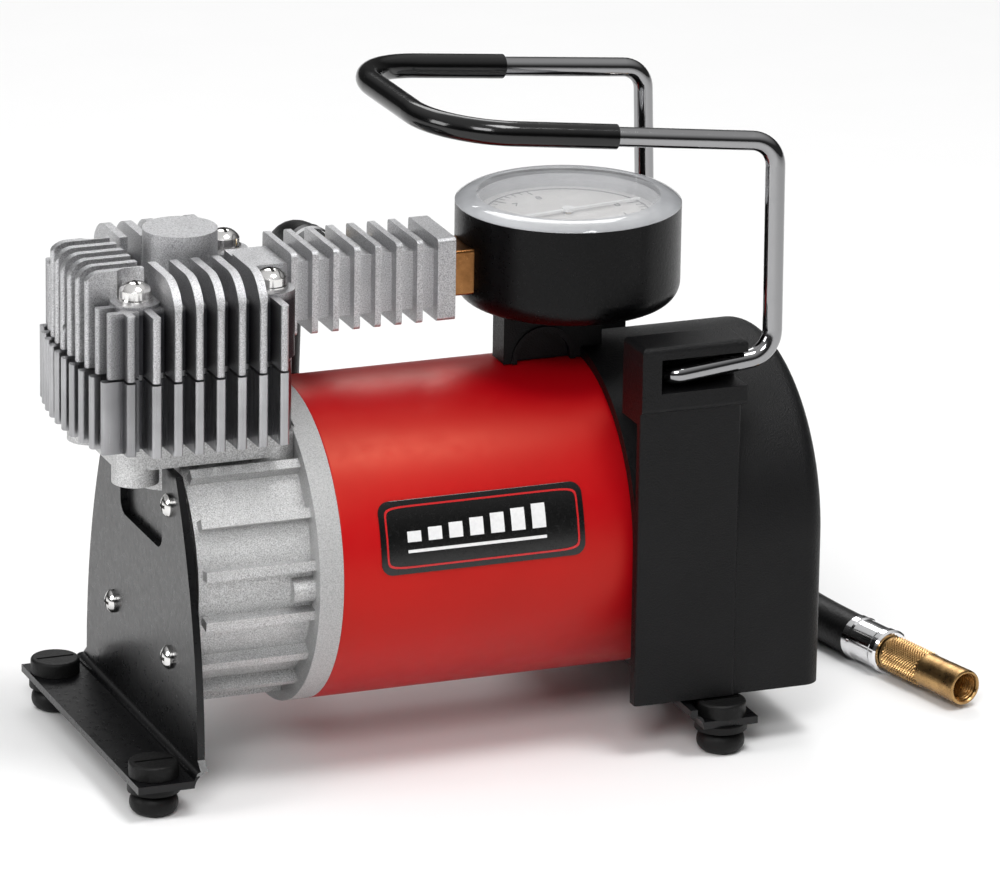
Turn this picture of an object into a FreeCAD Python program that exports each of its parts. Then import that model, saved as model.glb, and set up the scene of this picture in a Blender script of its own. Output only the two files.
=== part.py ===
import FreeCAD, Part
import math
import operator
import os
import Sketcher

os.makedirs("parts", exist_ok=True)
doc = FreeCAD.newDocument("AirCompressor")
Vector, Rotation = FreeCAD.Vector, FreeCAD.Rotation

# The object stands on its feet with +Z up. The motor lies along X: the cylinder is at the -X end, the
# plastic cover at the +X end, and the outlet hose leaves at the back, +Y. Lengths are in millimetres.

DIMENSIONS = [
    # (alias, value, what it is)
    ("axis_height", 56.1, "motor axis above the ground"),
    ("cylinder_x", -66.5, "cylinder axis"),
    # stands and feet
    ("stand_sheet", 2.0, "thickness of both stands"),
    ("stand_rise", 29.9, "top edge of the front stand above the motor axis"),
    ("flange_top", 10.3, "upper face of the feet flanges"),
    ("front_half_width", 49.0, "half width of the front flange"),
    ("rear_half_width", 52.0, "half width of the rear flange"),
    ("flange_reach", 17.3, "front flange beyond the plate"),
    ("front_foot_y", 41.0, "front feet from the middle"),
    ("rear_foot_y", 46.5, "rear feet from the middle"),
    ("foot_radius", 7.0, "widest ring of a foot"),
    ("foot_stem", 4.0, "stem of a foot, in its hole"),
    ("screw_ring", 31.0, "stand screws from the motor axis"),
    # crankcase
    ("case_length", 31.1, "ribbed barrel of the crankcase"),
    ("case_reach", 7.2, "crankcase front beyond the cylinder axis"),
    ("rib_height", 3.4, "ribs above the barrel"),
    ("rib_drop", 2.8, "ribs below the outside of the motor tube"),
    ("rib_width", 2.6, "thickness of a rib"),
    ("flange_width", 6.5, "light ring at the back of the crankcase"),
    ("cavity_radius", 25.0, "crank chamber"),
    ("case_cover", 1.4, "thickness of the crankcase cover"),
    # motor
    ("motor_radius", 42.7, "outside of the motor tube"),
    ("motor_wall", 2.0, "wall of the motor tube"),
    ("motor_length", 90.0, "length of the motor tube"),
    ("shaft_radius", 3.95, "motor shaft"),
    ("bearing_radius", 11.0, "ball bearings, outside"),
    ("bearing_width", 7.0, "ball bearings, width"),
    ("running_gap", 0.05, "radial clearance of a running fit"),
    ("air_gap", 0.9, "armature core to the magnets"),
    ("magnet_thick", 7.0, "thickness of the magnets"),
    # crank train
    ("crank_radius", 7.0, "throw of the crank"),
    ("rod_length", 42.0, "connecting rod between centres"),
    ("bore_radius", 14.0, "cylinder bore"),
    ("liner_wall", 2.5, "wall of the cylinder liner"),
    ("pin_radius", 2.5, "wrist pin"),
    ("crank_pin_radius", 3.0, "crank pin"),
    ("rod_width", 6.0, "connecting rod along the shaft"),
    # cylinder and head
    ("deck_rise", 37.5, "deck of the crankcase above the motor axis"),
    ("cylinder_height", 19.8, "finned part of the cylinder"),
    ("head_height", 26.1, "cylinder head above the finned cylinder"),
    ("block_half", 24.5, "half width of the block inside the fins"),
    ("fin_pitch", 5.77, "front and back fins"),
    ("fin_width", 2.2, "thickness of a head fin"),
    ("jacket_fin", 2.7, "thickness of a cylinder fin"),
    ("fin_reach", 33.3, "fin tips from the cylinder axis"),
    ("side_pitch", 5.6, "left fins"),
    ("bolt_offset", 18.4, "head screws from the cylinder axis"),
    ("bolt_radius", 2.4, "shank of a head screw"),
    ("boss_radius", 9.8, "round boss on the head"),
    ("boss_rise", 5.0, "round boss above the head fins"),
    # outlet
    ("outlet_rise", 70.4, "outlet axis above the motor axis"),
    ("manifold_fin", 22.5, "square manifold fins, side"),
    ("manifold_core", 16.0, "square manifold core, side"),
    ("manifold_end", 5.0, "end block of the manifold"),
    ("fitting_width", 14.0, "square brass fitting, side"),
    ("fitting_height", 12.5, "square brass fitting, height"),
    ("fitting_gap", 5.9, "brass fitting between manifold and gauge"),
    ("hose_x", -21.1, "hose outlet along the motor"),
    ("hose_radius", 5.8, "outside of the hose"),
    # gauge
    ("gauge_setback", 2.6, "gauge axis before the cover's edge"),
    ("gauge_radius", 30.0, "gauge case"),
    ("gauge_bottom", 58.4, "bottom of the gauge case above the motor axis"),
    ("gauge_height", 26.9, "gauge case"),
    ("lens_rise", 2.1, "lens above the gauge case"),
    # cover and handle
    ("cover_overlap", 9.5, "cover over the end of the motor tube"),
    ("cover_length", 54.2, "cover along the motor"),
    ("cover_gap", 0.5, "cover to the motor tube"),
    ("cover_wall", 2.8, "wall of the cover"),
    ("cover_drop", 41.1, "lower edge of the cover below the motor axis"),
    ("panel_proud", 1.5, "side panel beyond the arch"),
    ("slot_block_length", 29.7, "slot block along the motor"),
    ("slot_rise", 45.3, "lower face of the handle slot above the motor axis"),
    ("slot_height", 9.2, "height of the handle slot"),
    ("handle_radius", 2.6, "handle rod"),
    ("sleeve_wall", 0.7, "sleeve on the handle"),
    ("leg_inset", 2.0, "lower legs of the handle inside the cover's arch"),
    ("pivot_rise", 48.9, "pivot of the handle above the motor axis"),
]


class Size:
    """A length with its number and the sheet expression that gives it."""

    def __init__(self, number, text):
        self.number, self.text = number, text

    def __add__(self, other):
        return combined(self, "+", other)

    def __radd__(self, other):
        return combined(other, "+", self)

    def __sub__(self, other):
        return combined(self, "-", other)

    def __rsub__(self, other):
        return combined(other, "-", self)

    def __mul__(self, other):
        return combined(self, "*", other)

    def __rmul__(self, other):
        return combined(other, "*", self)

    def __truediv__(self, other):
        return combined(self, "/", other)

    def __neg__(self):
        return combined(0, "-", self)


OPERATORS = {"+": operator.add, "-": operator.sub, "*": operator.mul, "/": operator.truediv}


def size(value):
    return value if isinstance(value, Size) else Size(float(value), f"{float(value):.6f}")


def combined(a, sign, b):
    a, b = size(a), size(b)
    return Size(OPERATORS[sign](a.number, b.number), f"({a.text} {sign} {b.text})")


def num(value):
    return size(value).number


# ---- the sheet -------------------------------------------------------------------------------------

sheet = doc.addObject("Spreadsheet::Sheet", "Sizes")


class Dimensions:
    """Every alias of the sheet as a Size."""


d = Dimensions()
for row, (alias, value, meaning) in enumerate(DIMENSIONS, start=1):
    sheet.set(f"A{row}", meaning)
    sheet.set(f"B{row}", str(value))
    sheet.setAlias(f"B{row}", alias)
    setattr(d, alias, Size(value, f"Sizes.{alias}"))
doc.recompute()

# ---- building blocks -------------------------------------------------------------------------------

ALONG_X, ALONG_Y, ALONG_Z = Rotation(Vector(0, 1, 0), 90), Rotation(Vector(1, 0, 0), -90), Rotation()
TURNS = {"x": ALONG_X, "y": ALONG_Y, "z": ALONG_Z}


def bind(thing, name, value):
    thing.setExpression(name, size(value).text)


def put(thing, x, y, z, turn=ALONG_Z):
    thing.Placement = FreeCAD.Placement(Vector(num(x), num(y), num(z)), turn)
    for axis, value in zip("xyz", (x, y, z)):
        bind(thing, f"Placement.Base.{axis}", value)
    return thing


def block(x, y, z):
    """A box between two values of each coordinate."""
    made = doc.addObject("Part::Box", "Block")
    for name, (low, high) in zip(("Length", "Width", "Height"), (x, y, z)):
        bind(made, name, size(high) - low)
    return put(made, x[0], y[0], z[0])


def rod(radius, start, end, centre, axis="x", angle=360):
    """A round bar between two values along an axis; centre gives its two other coordinates."""
    made = doc.addObject("Part::Cylinder", "Rod")
    bind(made, "Radius", radius)
    bind(made, "Height", size(end) - start)
    made.Angle = angle
    a, b = centre
    return put(made, *{"x": (start, a, b), "y": (a, start, b), "z": (a, b, start)}[axis], TURNS[axis])


def fuse(*things):
    if len(things) == 1:
        return things[0]
    made = doc.addObject("Part::MultiFuse", "Fused")
    made.Shapes = list(things)
    return made


def cut(base, *tools):
    made = doc.addObject("Part::Cut", "Cut")
    made.Base, made.Tool = base, fuse(*tools)
    return made


def common(*things):
    made = doc.addObject("Part::MultiCommon", "Common")
    made.Shapes = list(things)
    return made


def tube(outer, inner, start, end, centre, axis="x"):
    return cut(rod(outer, start, end, centre, axis), rod(inner, size(start) - 1, size(end) + 1, centre, axis))


def rounded(base, radius, chosen):
    """The base with a fillet on each edge that the test chooses."""
    doc.recompute()
    made = doc.addObject("Part::Fillet", "Rounded")
    made.Base = base
    made.Edges = [(i, num(radius), num(radius)) for i, e in enumerate(base.Shape.Edges, start=1) if chosen(e)]
    if not made.Edges:
        raise ValueError("no edge to round")
    return made


def straight(edge, axis):
    """Whether an edge is a straight line along an axis."""
    if edge.Curve.TypeId != "Part::GeomLine":
        return False
    way = edge.Curve.Direction
    return abs(abs(way["xyz".index(axis)]) - 1) < 1e-6


def near(value, target, reach=0.05):
    return abs(num(value) - num(target)) < reach


def outline(body, plane, corners):
    """A closed sketch through the corners, each (u, v) or (u, v, r) where an arc of radius r leads on.

    A negative radius bulges the arc to the other side.
    """
    sketch = body.newObject("Sketcher::SketchObject", "Outline")
    role = {"xy": "XY_Plane", "xz": "XZ_Plane", "yz": "YZ_Plane"}[plane]
    sketch.AttachmentSupport = [([f for f in body.Origin.OriginFeatures if f.Role == role][0], "")]
    sketch.MapMode = "FlatFace"
    spots = [Vector(num(c[0]), num(c[1]), 0) for c in corners]
    ends = []
    for i, corner in enumerate(corners):
        a, b = spots[i], spots[(i + 1) % len(spots)]
        if len(corner) == 2:
            sketch.addGeometry(Part.LineSegment(a, b))
            ends.append((1, 2))
        else:
            radius = num(corner[2])
            half = (b - a) / 2
            rise = abs(radius) - math.sqrt(max(radius**2 - half.Length**2, 0))
            side = Vector(half.y, -half.x, 0).normalize() * math.copysign(rise, radius)
            arc = Part.Arc(a, a + half + side, b)
            sketch.addGeometry(arc)
            ends.append((1, 2) if radius > 0 else (2, 1))
    for i, corner in enumerate(corners):
        following = (i + 1) % len(corners)
        sketch.addConstraint(Sketcher.Constraint("Coincident", i, ends[i][1], following, ends[following][0]))
        for name, value in (("DistanceX", corner[0]), ("DistanceY", corner[1])):
            index = sketch.addConstraint(Sketcher.Constraint(name, -1, 1, i, ends[i][0], num(value)))
            bind(sketch, f"Constraints[{index}]", value)
        if len(corner) == 3:
            bound = size(corner[2]) if num(corner[2]) > 0 else -size(corner[2])
            index = sketch.addConstraint(Sketcher.Constraint("Radius", i, bound.number))
            bind(sketch, f"Constraints[{index}]", bound)
    return sketch


def turned(profile, centre, axis="z", start=0):
    """A body turned about an axis from (radius, distance along the axis) corners."""
    body = doc.addObject("PartDesign::Body", "Turned")
    sketch = outline(body, "xz", profile)
    feature = body.newObject("PartDesign::Revolution", "Revolution")
    feature.Profile = sketch
    feature.ReferenceAxis = (sketch, ["V_Axis"])
    feature.Angle = 360
    a, b = centre
    return put(body, *{"x": (start, a, b), "y": (a, start, b), "z": (a, b, start)}[axis], TURNS[axis])


def plate(corners, plane, low, high):
    """A body padded from an outline between two values along the plane's normal."""
    body = doc.addObject("PartDesign::Body", "Plate")
    sketch = outline(body, plane, corners)
    feature = body.newObject("PartDesign::Pad", "Pad")
    feature.Profile = sketch
    bind(feature, "Length", size(high) - low)
    feature.Reversed = plane == "xz"
    spot = {"xy": (0, 0, low), "xz": (0, low, 0), "yz": (low, 0, 0)}[plane]
    return put(body, *spot)


def route(points, radii):
    """A wire of straight runs joined by tangent arcs, one radius for each inner point."""
    edges, start = [], points[0]
    for i, radius in enumerate(radii, start=1):
        before = (points[i - 1] - points[i]).normalize()
        after = (points[i + 1] - points[i]).normalize()
        half = before.getAngle(after) / 2
        reach = radius / math.tan(half)
        first, last = points[i] + before * reach, points[i] + after * reach
        middle = points[i] + (before + after).normalize() * (radius / math.sin(half) - radius)
        edges += [Part.LineSegment(start, first).toShape(), Part.Arc(first, middle, last).toShape()]
        start = last
    edges.append(Part.LineSegment(start, points[-1]).toShape())
    return Part.Wire(edges)


def swept(wire, radius, label, inner=None):
    """A round bar or tube along a wire."""
    start = wire.Edges[0]
    way = start.tangentAt(start.FirstParameter)
    shapes = []
    for r in [radius] + ([inner] if inner else []):
        ring = Part.Wire(Part.makeCircle(num(r), start.Vertexes[0].Point, way))
        shapes.append(wire.makePipeShell([ring], True, False))
    made = doc.addObject("Part::Feature", label)
    made.Shape = shapes[0].cut(shapes[1]) if inner else shapes[0]
    return made


def scattered(points):
    return [Vector(*[num(value) for value in point]) for point in points]


pieces = []


def piece(label, thing):
    thing.Label = label
    pieces.append(thing)
    return thing


# ---- places worked out from the sheet ----------------------------------------------------------------

az = d.axis_height
axis = (0, az)
cyl_x = d.cylinder_x
case_front = cyl_x - d.case_reach
case_back = case_front + d.case_length
tube_start = case_back + d.flange_width
tube_end = tube_start + d.motor_length
plate_inner = case_front - d.case_cover
plate_face = plate_inner - d.stand_sheet
cover_front = tube_end - d.cover_overlap
cover_end = cover_front + d.cover_length
gauge_x = cover_front - d.gauge_setback
front_foot_x = plate_face - 10.4
rear_plate = cover_front + 13.9
rear_foot_x = cover_front + 24.9
deck = az + d.deck_rise
block_top = deck + d.cylinder_height
gasket_low = block_top - 1.5
plate_low = gasket_low + 0.3
head_base = plate_low + 1.5
head_top = block_top + d.head_height
seat = head_top - 7.7
outlet_z = az + d.outlet_rise
stand_top = az + d.stand_rise
rib_radius = d.motor_radius - d.rib_drop
case_radius = rib_radius - d.rib_height
magnet_inner = d.motor_radius - d.motor_wall - d.magnet_thick
core_radius = magnet_inner - d.air_gap
cover_radius = d.motor_radius + d.cover_gap + d.cover_wall
cover_bottom = az - d.cover_drop
slot_bottom = az + d.slot_rise
slot_top = slot_bottom + d.slot_height
grip_radius = d.handle_radius + d.sleeve_wall
cover_inner = cover_radius - d.cover_wall
leg_y = cover_radius - d.leg_inset
pivot_z = az + d.pivot_rise
liner_radius = d.bore_radius + d.liner_wall
signs = (-1, 1)
bolt_spots = [(cyl_x + d.bolt_offset * i, d.bolt_offset * j) for i in signs for j in signs]
BOLT_SLACK = 0.2
FLAT_GAP = 0.1


# ---- stands and feet -------------------------------------------------------------------------------

flange_low = d.flange_top - d.stand_sheet
BEND = 1.9
stand_screw_spots = [
    (d.screw_ring * (0.739 * i), az + d.screw_ring * (0.674 * j)) for i in signs for j in signs
]
NOTCH_HALF, NOTCH_FLOOR = 17.0, az + 6.4


def angle_sheet(face, way, reach, half, top):
    """An L of bent sheet: a plate whose outer face is at x = face and a flange that runs way * X."""
    inside = face - d.stand_sheet * way
    corner = [
        (inside, top),
        (inside, flange_low + BEND + d.stand_sheet, -(BEND + d.stand_sheet) * way),
        (inside + (BEND + d.stand_sheet) * way, flange_low),
        (face + way * reach, flange_low),
        (face + way * reach, d.flange_top),
        (face + way * BEND, d.flange_top, BEND * way),
        (face, d.flange_top + BEND),
        (face, top),
    ]
    return plate(corner, "xz", -half, half)


front_blank = angle_sheet(plate_face, -1, d.flange_reach, d.front_half_width, stand_top)
front_edges = plate(
    [
        (-d.front_half_width, 0),
        (d.front_half_width, 0),
        (d.front_half_width, 11.5),
        (45.6, 14.5, 160),
        (27.8, stand_top),
        (NOTCH_HALF, stand_top),
        (NOTCH_HALF, NOTCH_FLOOR + 4, -4),
        (NOTCH_HALF - 4, NOTCH_FLOOR),
        (4 - NOTCH_HALF, NOTCH_FLOOR, -4),
        (-NOTCH_HALF, NOTCH_FLOOR + 4),
        (-NOTCH_HALF, stand_top),
        (-27.8, stand_top, 160),
        (-45.6, 14.5),
        (-d.front_half_width, 11.5),
    ],
    "yz",
    plate_face - 30,
    plate_inner + 1,
)
front_holes = [
    rod(d.foot_stem + 0.1, flange_low - 1, d.flange_top + 1, (front_foot_x, d.front_foot_y * j), "z")
    for j in signs
] + [rod(2.2, plate_face - 1, plate_inner + 1, spot) for spot in stand_screw_spots]
piece("front_stand", cut(common(front_blank, front_edges), *front_holes))

rear_top = az + 20
rear_blank = angle_sheet(rear_plate + d.stand_sheet, 1, d.flange_reach, d.rear_half_width, rear_top)
rear_edges = plate(
    [
        (-d.rear_half_width, 0),
        (d.rear_half_width, 0),
        (d.rear_half_width, cover_bottom - 1),
        (cover_inner - 1.5, cover_bottom - 1),
        (cover_inner - 5.2, cover_bottom + 1),
        (26, rear_top),
        (-26, rear_top),
        (5.2 - cover_inner, cover_bottom + 1),
        (1.5 - cover_inner, cover_bottom - 1),
        (-d.rear_half_width, cover_bottom - 1),
    ],
    "yz",
    rear_plate - 1,
    rear_plate + 30,
)
rear_holes = [
    rod(d.foot_stem + 0.1, flange_low - 1, d.flange_top + 1, (rear_foot_x, d.rear_foot_y * j), "z")
    for j in signs
] + [rod(12.5, rear_plate - 1, rear_plate + 4, axis)]
REAR_SCREW_Y, REAR_SCREW_DROP = 20.0, 20.0
rear_screw_spots = [(REAR_SCREW_Y * j, az - REAR_SCREW_DROP) for j in signs]
rear_holes += [rod(2.2, rear_plate - 1, rear_plate + 4, spot) for spot in rear_screw_spots]
piece("rear_stand", cut(common(rear_blank, rear_edges), *rear_holes))


def foot(x, y):
    """A rubber foot pushed into its hole, with a slotted disc on top of the flange."""
    profile = [
        (0, 0),
        (3.6, 0, 3.0),
        (6.4, 3.4, 2.4),
        (5.0, 5.6),
        (d.foot_radius, 6.4),
        (d.foot_radius, flange_low - FLAT_GAP),
        (d.foot_stem, flange_low - FLAT_GAP),
        (d.foot_stem, d.flange_top + FLAT_GAP),
        (6.6, d.flange_top + FLAT_GAP),
        (6.6, d.flange_top + 3.3, 0.8),
        (5.8, d.flange_top + 4.1),
        (0, d.flange_top + 4.1),
    ]
    slot = block((x - 5.2, x + 5.2), (y - 0.5, y + 0.5), (d.flange_top + 3.5, d.flange_top + 5))
    return cut(turned(profile, (x, y)), slot)


piece(
    "rubber_feet",
    fuse(
        *[foot(front_foot_x, d.front_foot_y * j) for j in signs],
        *[foot(rear_foot_x, d.rear_foot_y * j) for j in signs],
    ),
)


def pan_screw(radius, head, rise, shank_end, face, centre, way, along="x"):
    """A pan-head screw with a cross recess. way is the side of the face that its head is on."""
    profile = [
        (0, shank_end),
        (radius, shank_end),
        (radius, 0),
        (head, 0),
        (head, rise * 0.35, head * 1.02),
        (0, rise),
    ]
    body = turned(profile, centre, along, face)
    if way < 0:
        a, b = centre
        turn = {"x": Rotation(Vector(0, 1, 0), -90), "z": Rotation(Vector(1, 0, 0), 180)}[along]
        put(body, *{"x": (face, a, b), "z": (a, b, face)}[along], turn)
    reach, width = head * 0.55, 0.45
    tip = size(face) + way * (rise + 0.5)
    root = size(face) + way * (rise * 0.45)
    low, high = (tip, root) if way < 0 else (root, tip)
    a, b = centre
    arms = []
    for u, v in ((reach, width), (width, reach)):
        sides = ((a - u, a + u), (b - v, b + v))
        arms.append(block((low, high), *sides) if along == "x" else block(*sides, (low, high)))
    return cut(body, *arms)


front_face, rear_face = plate_face - FLAT_GAP / 2, rear_plate + d.stand_sheet + FLAT_GAP / 2
piece(
    "stand_screws",
    fuse(
        *[pan_screw(2.0, 3.1, 2.1, -9.0, front_face, spot, -1) for spot in stand_screw_spots],
        *[pan_screw(2.0, 3.1, 2.1, -7.0, rear_face, spot, 1) for spot in rear_screw_spots],
    ),
)

# ---- crankcase and cylinder ------------------------------------------------------------------------

NECK_FLOOR = az + 21.7
throat = d.bore_radius + 0.2
deck_low = deck - 6.0
ledge = deck - 5.0
barrel = rod(case_radius, case_front, case_back + 1, axis)
ring = rod(d.motor_radius, case_back, tube_start, axis)
spigot = rod(d.motor_radius - d.motor_wall - 0.1, tube_start - 1, tube_start + 3, axis)
ribs = []
RIB_STEP = 20
for turn in range(0, 360, RIB_STEP):
    angle = turn + 11.5
    if 62 < angle < 118:
        continue
    rib = doc.addObject("Part::Box", "Rib")
    bind(rib, "Length", d.case_length - 1.2)
    bind(rib, "Width", d.rib_width)
    bind(rib, "Height", 6)
    outward = Rotation(Vector(1, 0, 0), angle - 90)
    foot_y = math.cos(math.radians(angle))
    foot_z = math.sin(math.radians(angle))
    root = rib_radius - 6
    put(
        rib,
        case_front + 1.2,
        root * foot_y - d.rib_width * (0.5 * foot_z),
        az + root * foot_z + d.rib_width * (0.5 * foot_y),
        outward,
    )
    ribs.append(rib)
LUG_ANGLE = 182
lug_y, lug_z = math.cos(math.radians(LUG_ANGLE)), math.sin(math.radians(LUG_ANGLE))
lug = rod(3.4, case_back - 6, case_back + 1, (case_radius * lug_y, az + case_radius * lug_z))
deck_plate = rounded(
    block(
        (cyl_x - d.block_half, cyl_x + d.block_half), (-d.block_half, d.block_half), (deck_low, deck)
    ),
    6.0,
    lambda e: straight(e, "z"),
)
deck_bosses = [rod(6.2, deck - 10.6, deck, (x, y), "z") for x, y in bolt_spots]
neck = rod(16.6, NECK_FLOOR, deck, (cyl_x, 0), "z")
shoulder = block((case_front, case_back + 1), (-20, 20), (az + 28, deck))
chamber = rod(d.cavity_radius, case_front - 1, case_back - d.bearing_width + 1, axis)
throat_high = rod(throat, NECK_FLOOR + 3, deck + 1, (cyl_x, 0), "z")
throat_low = common(
    rod(throat, az, NECK_FLOOR + 3, (cyl_x, 0), "z"),
    block((case_front + 0.6, case_back), (-20, 20), (az, NECK_FLOOR + 3)),
)
liner_seat = rod(liner_radius + FLAT_GAP / 2, ledge, deck + 1, (cyl_x, 0), "z")
bearing_seat = rod(d.bearing_radius + 0.02, case_back - d.bearing_width, case_back + 1, axis)
shaft_hole = rod(8.0, case_front - 1, case_back + 1, axis)
motor_side = rod(d.motor_radius - d.motor_wall - 6.6, case_back, tube_start + 4, axis)
case_bolt_holes = [rod(d.bolt_radius + 0.05, deck - 9, deck + 1, (x, y), "z") for x, y in bolt_spots]
case_screw_holes = [rod(2.05, case_front - 1, case_front + 8, spot) for spot in stand_screw_spots]
LONG_SCREW_RING, LONG_SCREW_RADIUS = d.motor_radius - 5.5, 1.9
long_screw_spots = [(0, az + LONG_SCREW_RING * j) for j in signs]
long_screw_holes = [
    rod(LONG_SCREW_RADIUS + 0.05, tube_start - 5, tube_start + 4, spot) for spot in long_screw_spots
]
piece(
    "crankcase",
    cut(
        fuse(barrel, ring, spigot, *ribs, lug, deck_plate, *deck_bosses, neck, shoulder),
        chamber,
        throat_high,
        throat_low,
        liner_seat,
        bearing_seat,
        shaft_hole,
        motor_side,
        *case_bolt_holes,
        *case_screw_holes,
        *long_screw_holes,
        block(
            (cyl_x - d.fin_reach - 1, cyl_x + d.block_half + FLAT_GAP),
            (-d.fin_reach - 1, d.fin_reach + 1),
            (deck, block_top),
        ),
    ),
)

cover_disc = rod(35.0, plate_inner, case_front, axis)
piece(
    "crankcase_cover",
    cut(
        common(cover_disc, block((plate_inner - 1, case_front + 1), (-40, 40), (0, NECK_FLOOR - 0.3))),
        *[rod(2.2, plate_inner - 1, case_front + 1, spot) for spot in stand_screw_spots],
    ),
)

FIN_COUNT = 4
SIDE_COUNT = 5
CORNER_SETBACK = 3.3
TIP_ROUND = 0.9


def side_reach(distance):
    """How far a left fin reaches: the tips follow a shallow bow."""
    return d.fin_reach - 0.5 - distance * distance / (2 * 95)


def cross_fins(low, high, width, short_only=None):
    """The front and back fins as bars right across the block. short_only picks the short or tall ones."""
    bars = []
    for k in range(-FIN_COUNT, FIN_COUNT):
        short = abs(k) > 2
        if short_only is not None and short != short_only:
            continue
        middle = cyl_x + d.fin_pitch * k
        reach = d.fin_reach - (CORNER_SETBACK if k == -FIN_COUNT else 0)
        bars.append(
            rounded(
                block((middle - width / 2, middle + width / 2), (-reach, reach), (low, high)),
                TIP_ROUND,
                lambda e: straight(e, "z"),
            )
        )
    return bars


def left_fins(low, high, inner, width, setback=0.0, short_only=None):
    """The left fins, from their bowed tips to a distance from the cylinder axis."""
    bars = []
    for k in range(-SIDE_COUNT, SIDE_COUNT):
        distance = d.side_pitch * (k + 0.5)
        short = abs(k + 0.5) > 3
        if short_only is not None and short != short_only:
            continue
        tip = cyl_x + setback - side_reach(distance)
        bars.append(
            rounded(
                block((tip, cyl_x - inner), (distance - width / 2, distance + width / 2), (low, high)),
                TIP_ROUND,
                lambda e: straight(e, "z") and near(e.CenterOfMass.x, tip),
            )
        )
    return bars


BLOCK_ROUND = 8.0


def motor_corners(edge):
    """The upright edges of a block on the motor's side."""
    return straight(edge, "z") and edge.CenterOfMass.x > num(cyl_x)


def square_blank(low, high):
    """The square core of the cylinder and its head, rounded towards the motor."""
    blank = block((cyl_x - d.block_half, cyl_x + d.block_half), (-d.block_half, d.block_half), (low, high))
    return rounded(blank, BLOCK_ROUND, motor_corners)


inner_block = square_blank(deck, gasket_low)
# the fins stand a little higher than the core, round the gasket and the valve plate
sheet_room = block(
    (cyl_x - d.block_half - 0.4, cyl_x + d.block_half + 0.4),
    (-d.block_half - 0.4, d.block_half + 0.4),
    (gasket_low, block_top + 1),
)
fin_top = block_top - 0.3
jacket_fins = cut(
    fuse(*cross_fins(deck, fin_top, d.jacket_fin), *left_fins(deck, fin_top, 20, d.jacket_fin, -0.4)), sheet_room
)
piece(
    "cylinder_jacket",
    cut(
        fuse(inner_block, jacket_fins),
        rod(liner_radius + FLAT_GAP / 2, deck - 1, block_top, (cyl_x, 0), "z"),
        *[rod(d.bolt_radius + BOLT_SLACK, deck - 1, block_top, (x, y), "z") for x, y in bolt_spots],
    ),
)
piece("cylinder_liner", tube(liner_radius, d.bore_radius, ledge, gasket_low, (cyl_x, 0), "z"))


def between_block_and_head(low, high, bore, label):
    """A square sheet between cylinder and head, with its screw holes and its middle opening."""
    sheet_blank = square_blank(low, high)
    holes = [rod(d.bolt_radius + BOLT_SLACK, low - 1, high + 1, (x, y), "z") for x, y in bolt_spots]
    return piece(label, cut(sheet_blank, *holes, *bore))


between_block_and_head(
    gasket_low, plate_low, [rod(d.bore_radius + 0.5, gasket_low - 1, plate_low + 1, (cyl_x, 0), "z")], "head_gasket"
)
PORT_RADIUS, PORT_OFFSET = 2.2, 6.5
ports = [
    rod(PORT_RADIUS, plate_low - 1, head_base + 1, (cyl_x + PORT_OFFSET * i, 0), "z") for i in signs
]
between_block_and_head(plate_low, head_base, ports, "valve_plate")


REED_THICK, REED_HALF, REED_LENGTH = 0.2, 2.0, 11.0


def reed(x, low):
    """A springy strip over one port, with a round tip."""
    strip = block((x - REED_HALF, x + REED_HALF), (-REED_LENGTH, 0), (low, low + REED_THICK))
    return fuse(rod(3.2, low, low + REED_THICK, (x, 0), "z"), strip)


piece("valve_reeds", fuse(reed(cyl_x - PORT_OFFSET, plate_low - REED_THICK), reed(cyl_x + PORT_OFFSET, head_base)))

# ---- cylinder head ----------------------------------------------------------------------------------

core_top = head_top - 8.6
WASHER_RADIUS = 4.7
short_top = head_top - 8.3
fins_low = block_top + 0.3
SHOULDER_FRONT, SHOULDER_LEFT = 9.5, 5.5
INNER_END = 11.3
LEFT_INNER_END = 14.8
front_envelope = rounded(
    block((cyl_x - 40, cyl_x + 40), (-d.fin_reach, d.fin_reach), (fins_low, head_top)),
    SHOULDER_FRONT,
    lambda e: straight(e, "x") and near(e.CenterOfMass.z, head_top),
)
HEAD_SETBACK = 1.2
left_face = cyl_x - d.fin_reach + 0.5 + HEAD_SETBACK
left_envelope = rounded(
    block((left_face, cyl_x), (-40, 40), (fins_low, head_top - 0.3)),
    SHOULDER_LEFT,
    lambda e: straight(e, "y") and near(e.CenterOfMass.z, head_top - 0.3) and near(e.CenterOfMass.x, left_face),
)
tall_cross = cut(
    common(fuse(*cross_fins(fins_low, head_top, d.fin_width, short_only=False)), front_envelope),
    block((cyl_x - 30, cyl_x + 30), (-INNER_END, INNER_END), (core_top, head_top + 1)),
)
tall_left = common(
    fuse(*left_fins(fins_low, head_top, LEFT_INNER_END, d.fin_width, HEAD_SETBACK, short_only=False)), left_envelope
)
head_block = square_blank(head_base, core_top)
head_boss = rod(d.boss_radius, core_top - 1, head_top + d.boss_rise, (cyl_x, 0), "z")
screw_bosses = [rod(6.4, head_base, seat, (x, y), "z") for x, y in bolt_spots]
short_fins = [
    *cross_fins(fins_low, short_top, d.fin_width, short_only=True),
    *left_fins(fins_low, short_top, 20, d.fin_width, HEAD_SETBACK, short_only=True),
]
outlet_stub = block(
    (cyl_x + 15, cyl_x + d.block_half),
    (-d.manifold_core / 2, d.manifold_core / 2),
    (outlet_z - d.manifold_core / 2, outlet_z + d.manifold_core / 2),
)
pressure_chamber = block((cyl_x - 1, cyl_x + 14), (-9, 9), (head_base - 1, outlet_z + 2))
intake_chamber = block((cyl_x - 14, cyl_x - 3), (-9, 9), (head_base - 1, head_base + 10))
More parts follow.
